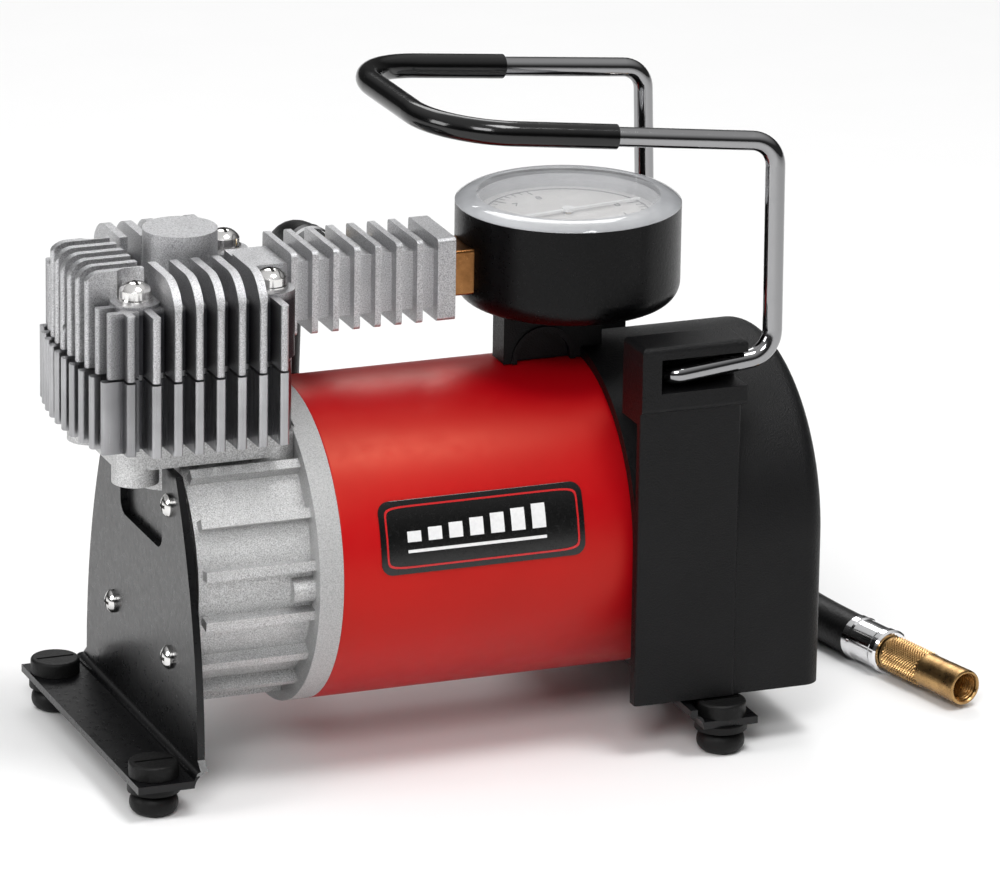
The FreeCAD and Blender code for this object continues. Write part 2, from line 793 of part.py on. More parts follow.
piece(
    "cylinder_head",
    cut(
        fuse(head_block, tall_cross, tall_left, head_boss, *screw_bosses, *short_fins, outlet_stub),
        pressure_chamber,
        intake_chamber,
        rod(3.0, cyl_x + 10, cyl_x + 30, (0, outlet_z)),
        rod(2.0, cyl_x - 40, cyl_x - 10, (0, head_base + 6)),
        block(
            (cyl_x + PORT_OFFSET - REED_HALF - 0.2, cyl_x + PORT_OFFSET + REED_HALF + 0.2),
            (-REED_LENGTH - 0.2, 0),
            (head_base - 1, head_base + REED_THICK + 0.1),
        ),
        *[rod(d.bolt_radius + BOLT_SLACK, head_base - 1, seat + 1, (x, y), "z") for x, y in bolt_spots],
        *[rod(WASHER_RADIUS + 0.3, seat, head_top + 1, (x, y), "z") for x, y in bolt_spots],
    ),
)
WASHER, SPRING_WASHER = 0.9, 1.1
washer_top = seat + WASHER + SPRING_WASHER
piece(
    "head_washers",
    fuse(
        *[tube(WASHER_RADIUS, d.bolt_radius + 0.15, seat, seat + WASHER, (x, y), "z") for x, y in bolt_spots],
        *[tube(4.2, d.bolt_radius + 0.15, seat + WASHER, washer_top, (x, y), "z") for x, y in bolt_spots],
    ),
)
shank = deck - 8.5 - washer_top
piece(
    "head_screws",
    fuse(*[pan_screw(d.bolt_radius, 4.2, 3.2, shank, washer_top, spot, 1, "z") for spot in bolt_spots]),
)

# ---- outlet manifold, brass fitting and hose fitting ------------------------------------------------

manifold_start = cyl_x + d.block_half
manifold_finish = gauge_x - d.gauge_radius - d.fitting_gap
half_core, half_fin = d.manifold_core / 2, d.manifold_fin / 2
FINS, FIN_THICK = 7, 1.7
first_fin = manifold_start + 2.2
pitch = (manifold_finish - d.manifold_end - first_fin) / FINS


def square_bar(start, end, half, label=None):
    return block((start, end), (-half, half), (outlet_z - half, outlet_z + half))


manifold_fins = []
for k in range(FINS):
    start = first_fin + pitch * k
    manifold_fins.append(
        rounded(square_bar(start, start + FIN_THICK, half_fin), 1.2, lambda e: straight(e, "x"))
    )
end_block = rounded(
    square_bar(manifold_finish - d.manifold_end, manifold_finish, half_fin), 1.2, lambda e: straight(e, "x")
)
BRANCH_END = 13.0
branch = rod(6.5, 4, BRANCH_END, (d.hose_x, outlet_z), "y")
piece(
    "outlet_manifold",
    cut(
        fuse(square_bar(manifold_start, manifold_finish, half_core), *manifold_fins, end_block, branch),
        rod(3.0, manifold_start - 1, manifold_finish + 1, (0, outlet_z)),
        rod(3.0, 0, BRANCH_END + 1, (d.hose_x, outlet_z), "y"),
    ),
)
fitting_end = gauge_x - d.gauge_radius + 1.6
half_fitting = d.fitting_width / 2
STEM_RADIUS = 4.0
fitting_block = rounded(
    block(
        (manifold_finish, fitting_end),
        (-half_fitting, half_fitting),
        (outlet_z - d.fitting_height / 2, outlet_z + d.fitting_height / 2),
    ),
    0.8,
    lambda e: straight(e, "x"),
)
socket_start = gauge_x - 22.0
piece(
    "brass_fitting",
    cut(
        fuse(fitting_block, rod(STEM_RADIUS, fitting_end - 1, socket_start, (0, outlet_z))),
        rod(1.6, manifold_finish - 1, socket_start + 1, (0, outlet_z)),
    ),
)
FERRULE_START, FERRULE_END = 16.0, 28.0
piece(
    "hose_fitting",
    cut(
        turned(
            [
                (0, BRANCH_END),
                (6.0, BRANCH_END),
                (6.0, FERRULE_START),
                (2.9, FERRULE_START),
                (2.9, FERRULE_END - 2),
                (0, FERRULE_END - 2),
            ],
            (d.hose_x, outlet_z),
            "y",
        ),
        rod(1.6, BRANCH_END - 1, FERRULE_END, (d.hose_x, outlet_z), "y"),
    ),
)
piece(
    "inlet_ferrule",
    cut(
        turned(
            [
                (0, FERRULE_START),
                (6.3, FERRULE_START),
                (6.3, FERRULE_START + 3),
                (6.0, FERRULE_START + 4),
                (6.0, FERRULE_END - 3),
                (6.4, FERRULE_END - 2),
                (6.4, FERRULE_END),
                (0, FERRULE_END),
            ],
            (d.hose_x, outlet_z),
            "y",
        ),
        rod(2.9, FERRULE_START - 1, FERRULE_END + 1, (d.hose_x, outlet_z), "y"),
    ),
)

# ---- gauge -------------------------------------------------------------------------------------------

gauge_low = az + d.gauge_bottom
rim = gauge_low + d.gauge_height
on_gauge = (gauge_x, 0)
CUP_WALL, CUP_FLOOR, CUP_ROUND = 2.0, 2.4, 6.0
cup = turned(
    [
        (0, gauge_low),
        (d.gauge_radius - CUP_ROUND, gauge_low, CUP_ROUND),
        (d.gauge_radius, gauge_low + CUP_ROUND),
        (d.gauge_radius, rim),
        (d.gauge_radius - CUP_WALL, rim),
        (d.gauge_radius - CUP_WALL, gauge_low + CUP_ROUND, -(CUP_ROUND - CUP_WALL)),
        (d.gauge_radius - CUP_ROUND, gauge_low + CUP_FLOOR),
        (0, gauge_low + CUP_FLOOR),
    ],
    on_gauge,
)
dial_z = rim - 4.0
ledge_ring = tube(d.gauge_radius - CUP_WALL + 0.5, 25.5, dial_z - 1.2, dial_z, on_gauge, "z")
piece(
    "gauge_case",
    cut(
        fuse(cup, ledge_ring),
        block(
            (gauge_x - d.gauge_radius - 1, fitting_end + 0.05),
            (-half_fitting - 0.1, half_fitting + 0.1),
            (outlet_z - d.fitting_height / 2 - 0.1, outlet_z + d.fitting_height / 2 + 0.1),
        ),
        rod(STEM_RADIUS + 0.05, gauge_x - d.gauge_radius, gauge_x - 20, (0, outlet_z)),
    ),
)
DIAL_THICK, STAFF_RADIUS = 0.6, 0.8
piece("gauge_dial", tube(27.6, STAFF_RADIUS + 0.6, dial_z, dial_z + DIAL_THICK, on_gauge, "z"))
LENS_WALL = 1.5
lens_top = rim + d.lens_rise
piece(
    "gauge_lens",
    turned(
        [
            (0, lens_top - LENS_WALL),
            (d.gauge_radius - 5.5, lens_top - LENS_WALL - 0.3),
            (d.gauge_radius - 5.5, dial_z + DIAL_THICK),
            (d.gauge_radius - CUP_WALL - 0.1, dial_z + DIAL_THICK),
            (d.gauge_radius - CUP_WALL - 0.1, rim),
            (d.gauge_radius, rim),
            (d.gauge_radius, rim + 0.2, 7.5),
            (d.gauge_radius - 5, lens_top),
            (0, lens_top),
        ],
        on_gauge,
    ),
)
BOURDON_RING, BOURDON_RADIUS = 18.0, 2.2


def bourdon_bend(radius):
    """A bar of that radius along the curve of the gauge's spring tube."""
    bend = doc.addObject("Part::Torus", "Bourdon")
    bind(bend, "Radius1", BOURDON_RING)
    bind(bend, "Radius2", radius)
    bend.Angle3 = 235
    return put(bend, gauge_x, 0, outlet_z, Rotation(Vector(0, 0, 1), 188))


piece("bourdon_tube", bourdon_bend(BOURDON_RADIUS))
SOCKET_HALF = 4.0
piece(
    "gauge_socket",
    cut(
        block((socket_start, gauge_x - 15.4), (-SOCKET_HALF, SOCKET_HALF), (gauge_low + CUP_FLOOR, outlet_z + 4.5)),
        rod(1.6, socket_start - 1, socket_start + 3, (0, outlet_z)),
        bourdon_bend(BOURDON_RADIUS + 0.05),
    ),
)
frame_z = outlet_z + 4.5
FRAME_THICK = 1.2
frame_bar = block((gauge_x - 20, gauge_x + 16), (-3.5, 3.5), (frame_z, frame_z + FRAME_THICK))
frame_post = rod(2.4, gauge_low + CUP_FLOOR, frame_z, (gauge_x + 12.5, 0), "z")
PINION_RADIUS, SECTOR_RADIUS = 1.4, 10.0
sector_x = gauge_x + PINION_RADIUS + SECTOR_RADIUS + 0.1
sector_low = frame_z + FRAME_THICK + 0.4
sector_pin = rod(1.2, frame_z, sector_low + 2.2, (sector_x, 0), "z")
piece(
    "gauge_frame",
    cut(
        fuse(frame_bar, frame_post, sector_pin),
        rod(STAFF_RADIUS + d.running_gap, frame_z - 1, frame_z + 2, on_gauge, "z"),
    ),
)
needle_z = dial_z + DIAL_THICK + 0.6
staff = rod(STAFF_RADIUS, frame_z - 1.5, needle_z + 0.4, on_gauge, "z")
pinion = rod(PINION_RADIUS, sector_low, sector_low + 1.5, on_gauge, "z")
staff_collar = rod(1.6, frame_z - 1.5, frame_z - 0.3, on_gauge, "z")
piece("needle_staff", fuse(staff, pinion, staff_collar))
NEEDLE_LENGTH, NEEDLE_TAIL = 22.2, 14.5
needle = plate(
    [
        (-NEEDLE_TAIL, -0.6),
        (0, -0.6),
        (NEEDLE_LENGTH, -0.35),
        (NEEDLE_LENGTH, 0.35),
        (0, 0.6),
        (-NEEDLE_TAIL, 0.6),
    ],
    "xy",
    0,
    0.5,
)
put(needle, gauge_x, 0, needle_z, Rotation(Vector(0, 0, 1), 9.6))
needle_hub = rod(1.7, needle_z, needle_z + 0.9, on_gauge, "z")
piece("gauge_needle", cut(fuse(needle, needle_hub), rod(STAFF_RADIUS, needle_z - 1, needle_z + 0.4, on_gauge, "z")))
sector = doc.addObject("Part::Cylinder", "Sector")
bind(sector, "Radius", SECTOR_RADIUS)
bind(sector, "Height", 1.5)
sector.Angle = 54
put(sector, sector_x, 0, sector_low, Rotation(Vector(0, 0, 1), 134))
piece(
    "sector_gear",
    cut(
        fuse(sector, rod(2.4, sector_low, sector_low + 1.5, (sector_x, 0), "z")),
        rod(1.2 + d.running_gap, sector_low - 1, sector_low + 3, (sector_x, 0), "z"),
    ),
)

# ---- motor -------------------------------------------------------------------------------------------

tube_inner = d.motor_radius - d.motor_wall
piece("motor_tube", tube(d.motor_radius, tube_inner, tube_start, tube_end, axis))


def sector_ring(outer, inner, start, end, low_angle, high_angle):
    """A curved plate about the motor axis; angles in degrees from +Y towards +Z."""
    turn = Rotation(Vector(1, 0, 0), low_angle + 90).multiply(Rotation(Vector(0, 1, 0), 90))
    bars = []
    for radius, spare in ((outer, 0), (inner, 1)):
        bar = doc.addObject("Part::Cylinder", "Sector")
        bind(bar, "Radius", radius)
        bind(bar, "Height", size(end) - start + 2 * spare)
        bar.Angle = 360 if spare else high_angle - low_angle
        bars.append(put(bar, size(start) - spare, 0, az, turn))
    return cut(*bars)


LABEL_THICK = 0.4
label_start = tube_start + 10.6
LABEL_LENGTH, LABEL_LOW, LABEL_HIGH = 56.5, 151.5, 177.2
piece(
    "label_plate",
    sector_ring(
        d.motor_radius + LABEL_THICK,
        d.motor_radius,
        label_start,
        label_start + LABEL_LENGTH,
        LABEL_LOW,
        LABEL_HIGH,
    ),
)
magnet_start = tube_start + 9
magnet_finish = tube_end - 10
piece(
    "motor_magnets",
    fuse(
        sector_ring(tube_inner - FLAT_GAP, magnet_inner, magnet_start, magnet_finish, -65, 65),
        sector_ring(tube_inner - FLAT_GAP, magnet_inner, magnet_start, magnet_finish, 115, 245),
    ),
)
bell_front, bell_back = tube_end, rear_plate
rear_bearing_start = bell_back - d.bearing_width
bell = fuse(
    rod(d.motor_radius, bell_front, bell_back, axis), rod(tube_inner - 0.1, bell_front - 3, bell_front + 1, axis)
)
piece(
    "end_bell",
    cut(
        bell,
        rod(d.bearing_radius + 0.02, rear_bearing_start, bell_back + 1, axis),
        rod(8.0, bell_front - 4, bell_back, axis),
        *[rod(LONG_SCREW_RADIUS + 0.1, bell_front - 4, bell_back + 1, spot) for spot in long_screw_spots],
        *[rod(3.6, bell_back - 3.2, bell_back + 1, spot) for spot in long_screw_spots],
        *[rod(2.05, bell_back - 6, bell_back + 1, spot) for spot in rear_screw_spots],
    ),
)
piece(
    "long_screws",
    fuse(
        *[rod(LONG_SCREW_RADIUS, tube_start - 4.5, bell_back - 3.2, spot) for spot in long_screw_spots],
        *[rod(3.3, bell_back - 3.2, bell_back - 0.6, spot) for spot in long_screw_spots],
    ),
)

def ball_bearing(start, label):
    """A closed ball bearing: one ring with shallow grooves for its shields."""
    inner, outer = d.shaft_radius + d.running_gap, d.bearing_radius
    width = d.bearing_width
    profile = [
        (inner, 0),
        (inner + 1.6, 0),
        (inner + 1.6, 0.4),
        (outer - 1.8, 0.4),
        (outer - 1.8, 0),
        (outer, 0),
        (outer, width),
        (outer - 1.8, width),
        (outer - 1.8, width - 0.4),
        (inner + 1.6, width - 0.4),
        (inner + 1.6, width),
        (inner, width),
    ]
    return piece(label, turned(profile, axis, "x", start))


ball_bearing(case_back - d.bearing_width, "front_bearing")
ball_bearing(rear_bearing_start, "rear_bearing")
BRUSH_X, BRUSH_HALF = tube_end - 9.0, 3.0
brush_plate_start = bell_front - 5.2
piece(
    "brush_plate",
    cut(
        fuse(
            tube(tube_inner - 0.4, 13.0, brush_plate_start, bell_front - 3, axis),
            *[
                block(
                    (BRUSH_X - BRUSH_HALF - 1.2, brush_plate_start + 0.5),
                    (14, 26) if j > 0 else (-26, -14),
                    (az - 5.2, az + 5.2),
                )
                for j in signs
            ],
        ),
        block((BRUSH_X - BRUSH_HALF - 0.1, BRUSH_X + BRUSH_HALF + 0.1), (-30, 30), (az - 4.1, az + 4.1)),
        *[rod(LONG_SCREW_RADIUS + 0.3, brush_plate_start - 1, bell_front, spot) for spot in long_screw_spots],
    ),
)
COMMUTATOR_RADIUS = 11.0
piece(
    "carbon_brushes",
    fuse(
        *[
            cut(
                block(
                    (BRUSH_X - BRUSH_HALF, BRUSH_X + BRUSH_HALF),
                    (9, 22) if j > 0 else (-22, -9),
                    (az - 4, az + 4),
                ),
                rod(COMMUTATOR_RADIUS + 0.3, tube_start, tube_end, axis),
            )
            for j in signs
        ]
    ),
)
piece(
    "brush_springs",
    fuse(
        *[
            fuse(
                block((BRUSH_X - 1.5, BRUSH_X + 1.5), (22, 22.4) if j > 0 else (-22.4, -22), (az - 3.6, az + 3.6)),
                block((BRUSH_X - 1.5, BRUSH_X + 1.5), (22, 27) if j > 0 else (-27, -22), (az + 3.2, az + 3.6)),
                block((BRUSH_X - 1.5, BRUSH_X + 1.5), (26.6, 27) if j > 0 else (-27, -26.6), (az - 5.2, az + 3.6)),
            )
            for j in signs
        ]
    ),
)

# rotor: shaft, core, windings, commutator and crank web turn together
core_start, core_end = tube_start + 18, tube_end - 28
web_start = cyl_x + d.rod_width / 2 + 1.3
WEB = 5.0
piece("motor_shaft", rod(d.shaft_radius, web_start, bell_back - 0.6, axis))
SLOTS = 12
slot_boxes = []
for k in range(SLOTS):
    angle = k * 360 / SLOTS
    slot = doc.addObject("Part::Box", "CoreSlot")
    bind(slot, "Length", core_end - core_start + 2)
    bind(slot, "Width", 3.0)
    bind(slot, "Height", core_radius - 13)
    turn = Rotation(Vector(1, 0, 0), angle)
    side = turn.multVec(Vector(0, -1.5, 14))
    put(slot, core_start - 1, side.y, az + side.z, turn)
    slot_boxes.append(slot)
piece(
    "armature_core",
    cut(rod(core_radius, core_start, core_end, axis), rod(d.shaft_radius, core_start - 1, core_end + 1, axis), *slot_boxes),
)
WINDING = 10.0


def end_turns(start):
    """A rounded ring of wire at one end of the core."""
    profile = [
        (6, 0),
        (core_radius - 4, 0),
        (core_radius - 4, WINDING - 5, 5),
        (core_radius - 9, WINDING),
        (6, WINDING),
    ]
    return turned(profile, axis, "x", start)


winding_bars = []
for k in range(SLOTS):
    angle = math.radians(k * 360 / SLOTS)
    spot = (-22 * math.sin(angle), az + 22 * math.cos(angle))
    winding_bars.append(rod(1.4, core_start - 1, core_end + 1, spot))
piece("armature_windings", fuse(end_turns(core_start - WINDING), end_turns(core_end), *winding_bars))
piece(
    "commutator",
    cut(
        rod(COMMUTATOR_RADIUS, BRUSH_X - 7, BRUSH_X + 3.5, axis),
        rod(d.shaft_radius, BRUSH_X - 8, BRUSH_X + 5, axis),
    ),
)
web_disc = rod(8.5, web_start, web_start + WEB, axis)
web_arm = block((web_start, web_start + WEB), (-6, 6), (az - d.crank_radius - 5, az))
counterweight = common(
    rod(19.0, web_start, web_start + WEB, axis),
    block((web_start, web_start + WEB), (-17, 17), (az + 4, az + 22)),
)
counter_neck = block((web_start, web_start + WEB), (-7, 7), (az, az + 6))
piece(
    "crank_web",
    cut(
        fuse(web_disc, web_arm, counterweight, counter_neck),
        rod(d.shaft_radius, web_start - 1, web_start + WEB + 1, axis),
    ),
)

# piston at the bottom of its stroke, and the rod that hangs from it
big_end_z = az - d.crank_radius
small_end_z = big_end_z + d.rod_length
crown = small_end_z + 6.3
skirt = small_end_z - 4.2
ring_low = crown - 3.4
half_rod = d.rod_width / 2
piston_body = turned(
    [
        (0, skirt),
        (d.bore_radius - 0.3, skirt),
        (d.bore_radius - 0.3, ring_low),
        (d.bore_radius - 1.8, ring_low),
        (d.bore_radius - 1.8, ring_low + 1.6),
        (d.bore_radius - 0.3, ring_low + 1.6),
        (d.bore_radius - 0.3, crown),
        (0, crown),
    ],
    (cyl_x, 0),
)
piece(
    "piston",
    cut(
        piston_body,
        block(
            (cyl_x - half_rod - 0.6, cyl_x + half_rod + 0.6), (-9.5, 9.5), (skirt - 1, small_end_z + 4.6)
        ),
        rod(d.pin_radius + 0.02, cyl_x - 20, cyl_x + 20, (0, small_end_z)),
    ),
)
piece(
    "piston_ring",
    tube(d.bore_radius - d.running_gap, d.bore_radius - 1.7, ring_low + 0.05, ring_low + 1.55, (cyl_x, 0), "z"),
)
piece("wrist_pin", rod(d.pin_radius, cyl_x - 12.5, cyl_x + 12.5, (0, small_end_z)))
ROD_BEARING = 6.5
rod_low, rod_high = cyl_x - half_rod, cyl_x + half_rod
piece(
    "connecting_rod",
    cut(
        fuse(
            rod(9.5, rod_low, rod_high, (0, big_end_z)),
            rod(4.3, rod_low, rod_high, (0, small_end_z)),
            block((rod_low + 1, rod_high - 1), (-3.2, 3.2), (big_end_z, small_end_z)),
        ),
        rod(ROD_BEARING + 0.02, rod_low - 1, rod_high + 1, (0, big_end_z)),
        rod(d.pin_radius + d.running_gap, rod_low - 1, rod_high + 1, (0, small_end_z)),
    ),
)
piece("big_end_bearing", tube(ROD_BEARING, d.crank_pin_radius, rod_low, rod_high, (0, big_end_z)))
piece(
    "crank_pin",
    fuse(
        rod(d.crank_pin_radius, rod_low - 1.6, web_start - 0.3, (0, big_end_z)),
        rod(4.4, rod_low - 1.6, rod_low - 0.1, (0, big_end_z)),
    ),
)

# ---- rear cover --------------------------------------------------------------------------------------

panel_y = cover_radius + d.panel_proud
slot_end = cover_front + d.slot_block_length
block_low, block_high = slot_bottom - 5.6, slot_bottom + 12.6
BLOCK_DEPTH = 13.5
RIM_ROUND = 5.0
arch = rounded(
    plate(
        [
            (-cover_radius, cover_bottom),
            (cover_radius, cover_bottom),
            (cover_radius, az, cover_radius),
            (0, az + cover_radius, cover_radius),
            (-cover_radius, az),
        ],
        "yz",
        cover_front,
        cover_end,
    ),
    RIM_ROUND,
    lambda e: near(e.CenterOfMass.x, cover_end) and not near(e.CenterOfMass.z, cover_bottom),
)
cover_solids, cover_cuts = [arch], []
pivot_x = cover_front + 9.2
for j in signs:

    def span(near_side, far_side):
        a, b = size(near_side) * j, size(far_side) * j
        return (a, b) if j > 0 else (b, a)

    panel = rounded(
        block((cover_front, slot_end - 1.2), span(panel_y - BLOCK_DEPTH, panel_y - 0.8), (cover_bottom, block_low + 1)),
        0.8,
        lambda e: straight(e, "z") and abs(e.CenterOfMass.y) > num(panel_y) - 2,
    )
    slot_body = rounded(
        block((cover_front, slot_end), span(panel_y - BLOCK_DEPTH, panel_y), (block_low, block_high)),
        1.6,
        lambda e: near(e.CenterOfMass.z, block_high) or (straight(e, "x") and near(abs(e.CenterOfMass.y), panel_y)),
    )
    cover_solids += [panel, slot_body]
    slot_back = panel_y - 9.2
    cover_cuts += [
        block((cover_front + 5.4, slot_end + 2), span(slot_back, panel_y + 1), (slot_bottom, slot_top)),
        rod(
            d.handle_radius + 0.1,
            *span(panel_y - BLOCK_DEPTH - 1, slot_back + 1),
            (pivot_x, pivot_z),
            "y",
        ),
        cut(
            block((cover_front - 1, slot_end - 5), span(panel_y - BLOCK_DEPTH - 1, panel_y - 3.2), (az + 4, block_low - 3)),
            rod(cover_radius, cover_front - 2, slot_end, axis),
        ),
    ]
SEAT_RADIUS, SEAT_THICK = 17.0, 2.0
# the web under the gauge stands on the tube, with an arched bead round a blind recess on each side
WEB_HALF, WEB_RECESS, BEAD = 4.0, 1.6, 1.4
ARCH_RADIUS, ARCH_RISE = (gauge_low - az - d.motor_radius) * 0.484, 0.8
web_start, web_end = gauge_x - 19.3, cover_front + 6
arch_x, arch_z = gauge_x - 8.1, az + d.motor_radius + ARCH_RISE
web = cut(
    block((web_start, web_end), (-WEB_HALF, WEB_HALF), (az + 38, gauge_low)),
    rod(d.motor_radius, web_start - 1, web_end + 1, axis),
)
gauge_seat = rod(SEAT_RADIUS, gauge_low - SEAT_THICK, gauge_low, (gauge_x, 0), "z")
arch_beads = cut(
    rod(ARCH_RADIUS + BEAD, -WEB_HALF - BEAD / 2, WEB_HALF + BEAD / 2, (arch_x, arch_z), "y"),
    rod(d.motor_radius, web_start - 20, web_end, axis),
)
arch_recesses = [
    rod(ARCH_RADIUS, WEB_HALF - WEB_RECESS, WEB_HALF + 3, (arch_x, arch_z), "y"),
    rod(ARCH_RADIUS, -WEB_HALF - 3, WEB_RECESS - WEB_HALF, (arch_x, arch_z), "y"),
]
cover_solids += [web, gauge_seat, arch_beads]
cavity = fuse(
    rod(cover_inner, cover_front - 40, cover_end - d.cover_wall, axis),
    block((cover_front - 1, cover_end - d.cover_wall), (-cover_inner, cover_inner), (0, az)),
)
SWITCH_Z = az + 8.0
SWITCH_HALF_Y, SWITCH_HALF_Z = 6.6, 9.7
GLAND_RADIUS, gland_spot = 5.0, (24.0, az - 24)
cover_screw_spots = [(33.0 * i, az + 16 * j) for i in signs for j in signs]
cover_cuts += [
    cavity,
    *arch_recesses,
    block((cover_end - 5, cover_end + 1), (-SWITCH_HALF_Y, SWITCH_HALF_Y), (SWITCH_Z - SWITCH_HALF_Z, SWITCH_Z + SWITCH_HALF_Z)),
    rod(GLAND_RADIUS + 0.05, cover_end - 5, cover_end + 1, gland_spot),
    *[rod(2.0, cover_end - 5, cover_end + 1, spot) for spot in cover_screw_spots],
]
shell = cut(fuse(*cover_solids), *cover_cuts)
screw_pillars = [
    cut(
        rod(4.6, rear_plate + d.stand_sheet + FLAT_GAP, cover_end - d.cover_wall + 0.5, spot),
        rod(2.0, bell_back - 1, cover_end + 1, spot),
    )
    for spot in cover_screw_spots
]
piece("rear_cover", fuse(shell, *screw_pillars))
piece(
    "cover_screws",
    fuse(*[pan_screw(1.7, 3.0, 1.8, bell_back - cover_end + 3, cover_end, spot, 1) for spot in cover_screw_spots]),
)
piece(
    "cable_gland",
    cut(
        fuse(
            rod(GLAND_RADIUS, cover_end - d.cover_wall - 1.5, cover_end, gland_spot),
            rod(GLAND_RADIUS + 1.6, cover_end, cover_end + 0.8, gland_spot),
            rod(GLAND_RADIUS + 1.6, cover_end - d.cover_wall - 1.6, cover_end - d.cover_wall - 0.1, gland_spot),
        ),
        rod(2.6, cover_end - 8, cover_end + 3, gland_spot),
    ),
)

# ---- switch ------------------------------------------------------------------------------------------

bezel_low, bezel_high = SWITCH_Z - 10.6, SWITCH_Z + 10.6
SWITCH_DEPTH = 15.0
piece(
    "switch_housing",
    cut(
        fuse(
            block((cover_end, cover_end + 1.4), (-7.6, 7.6), (bezel_low, bezel_high)),
            block((cover_end - SWITCH_DEPTH, cover_end + 1), (-6.5, 6.5), (SWITCH_Z - 9.6, SWITCH_Z + 9.6)),
        ),
        block((cover_end - 8, cover_end + 2), (-5.2, 5.2), (SWITCH_Z - 8.6, SWITCH_Z + 8.6)),
        rod(1.2 + d.running_gap, -6, 6, (cover_end - 1.0, SWITCH_Z), "y"),
    ),
)
ROCKER_TILT, ROCKER_HALF = -8, 4.9
rocker = plate(
    [(-4.0, -4.2), (2.9, -7.6), (1.5, 0), (2.9, 7.6), (-4.0, 4.2)], "xz", -ROCKER_HALF, ROCKER_HALF
)
put(rocker, cover_end - 1.0, -ROCKER_HALF, SWITCH_Z, Rotation(Vector(0, 1, 0), ROCKER_TILT))
piece("switch_rocker", fuse(rocker, rod(1.2, -5.9, 5.9, (cover_end - 1.0, SWITCH_Z), "y")))

# ---- handle ------------------------------------------------------------------------------------------

leg_end_x = pivot_x + 28.7
corner_x, corner_y, corner_z = cover_front + 36.8, leg_y - 3, pivot_z + 59.4
tip_x, tip_z, tip_y = cover_front - 52.4, pivot_z + 68.9, leg_y - 9.5
SKEW_X, SKEW_Z = 1.9, 0.8
inner_pin_end = leg_y - 8.8


def handle_points(j):
    """One side of the handle, from the pin in the cover to the far end of its top bar.

    The bent wire sits a little askew in its slots, so its near corner is further out than the other.
    """
    return [
        (pivot_x, inner_pin_end * j, pivot_z),
        (pivot_x, leg_y * j, pivot_z),
        (leg_end_x, leg_y * j, pivot_z + 3.2),
        (corner_x - SKEW_X * j, corner_y * j, corner_z - SKEW_Z * j),
        (tip_x - 0.2 * SKEW_X * j, tip_y * j, tip_z - 0.4 * SKEW_Z * j),
    ]


handle_path = scattered(handle_points(-1) + handle_points(1)[::-1])
handle_wire = route(handle_path, [3.2, 7.5, 7.0, 22.0, 22.0, 7.0, 7.5, 3.2])
piece("handle_bar", swept(handle_wire, d.handle_radius, "HandleBar"))
GRIP_SHARE = 0.48
grip_ends = [corner + (tip - corner) * GRIP_SHARE for corner, tip in (handle_path[3:5], handle_path[6:4:-1])]
grip_wire = route([grip_ends[0], *handle_path[4:6], grip_ends[1]], [22.0, 22.0])
piece("handle_grip", swept(grip_wire, grip_radius, "HandleGrip", d.handle_radius))

# ---- hose and valve connector --------------------------------------------------------------------------

# The points of the hose's route, chosen by hand: out of the ferrule, down behind the motor, along the
# ground in one loose curve and out at the right-hand end.
HOSE_POINTS = [
    (-21.1, 28.0, 126.5),
    (-21.1, 39.0, 126.5),
    (-21.1, 48.5, 117.0),
    (-20.9, 50.5, 97.0),
    (-19.7, 56.0, 66.0),
    (-16.4, 77.0, 30.0),
    (-8.4, 112.6, 9.0),
    (11.8, 145.5, 6.2),
    (46.7, 162.2, 6.2),
    (85.0, 157.1, 6.2),
    (114.3, 132.0, 6.2),
    (125.3, 95.0, 6.2),
    (126.0, 56.0, 6.2),
    (127.9, 25.0, 6.2),
    (132.4, 6.1, 6.2),
]
TURN_SHARE = 0.45
hose_points = scattered(HOSE_POINTS)
hose_runs = [(b - a).Length for a, b in zip(hose_points, hose_points[1:])]
hose_radii = []
for i in range(1, len(hose_points) - 1):
    before, after = hose_points[i - 1] - hose_points[i], hose_points[i + 1] - hose_points[i]
    half_turn = (math.pi - before.getAngle(after)) / 2
    hose_radii.append(TURN_SHARE * min(hose_runs[i - 1], hose_runs[i]) / math.tan(half_turn))
hose_wire = route(hose_points, hose_radii)
hose = piece("air_hose", swept(hose_wire, d.hose_radius, "AirHose"))
print("hose radii", [round(r, 1) for r in hose_radii], "length", round(hose_wire.Length, 1))

lead = (hose_points[-1] - hose_points[-2]).normalize()
lead_angle = math.degrees(math.atan2(lead.y, lead.x))
ON_LEAD = Rotation(Vector(0, 0, 1), lead_angle).multiply(ALONG_X)
end = hose_points[-1]


def on_lead(profile):
    """A body turned about the hose's end, from (radius, distance beyond the hose) corners."""
    return put(turned(profile, (0, 0)), end.x, end.y, end.z, ON_LEAD)


FERRULE, NUT_START, NUT_LENGTH, NUT_RADIUS, BORE = 14.7, 15.2, 32.4, 5.0, 3.85
piece(
    "outlet_ferrule",
    on_lead(
        [
            (3.2, 0),
            (6.2, 0),
            (6.2, 2.2),
            (5.9, 3.0),
            (5.9, 11.5),
            (6.2, 12.3),
            (6.2, FERRULE - 0.6),
            (5.6, FERRULE),
            (3.2, FERRULE),
        ]
    ),
)
SWIVEL, CHAMBER, THREAD_START = 9.2, 4.1, 15.5
STEM_FRONT = NUT_START + THREAD_START - 0.3
piece(
    "valve_stem",
    cut(
        on_lead(
            [
                (0, 0),
                (3.2, 0),
                (3.2, NUT_START + SWIVEL + 0.3),
                (3.9, NUT_START + SWIVEL + 0.3),
                (3.9, NUT_START + SWIVEL + 2.3),
                (1.6, NUT_START + SWIVEL + 2.3),
                (1.6, STEM_FRONT),
                (0, STEM_FRONT),
            ]
        ),
        on_lead([(0, -1), (1.0, -1), (1.0, STEM_FRONT - 2), (0, STEM_FRONT - 2)]),
    ),
)
washer_start = NUT_START + SWIVEL + 2.4
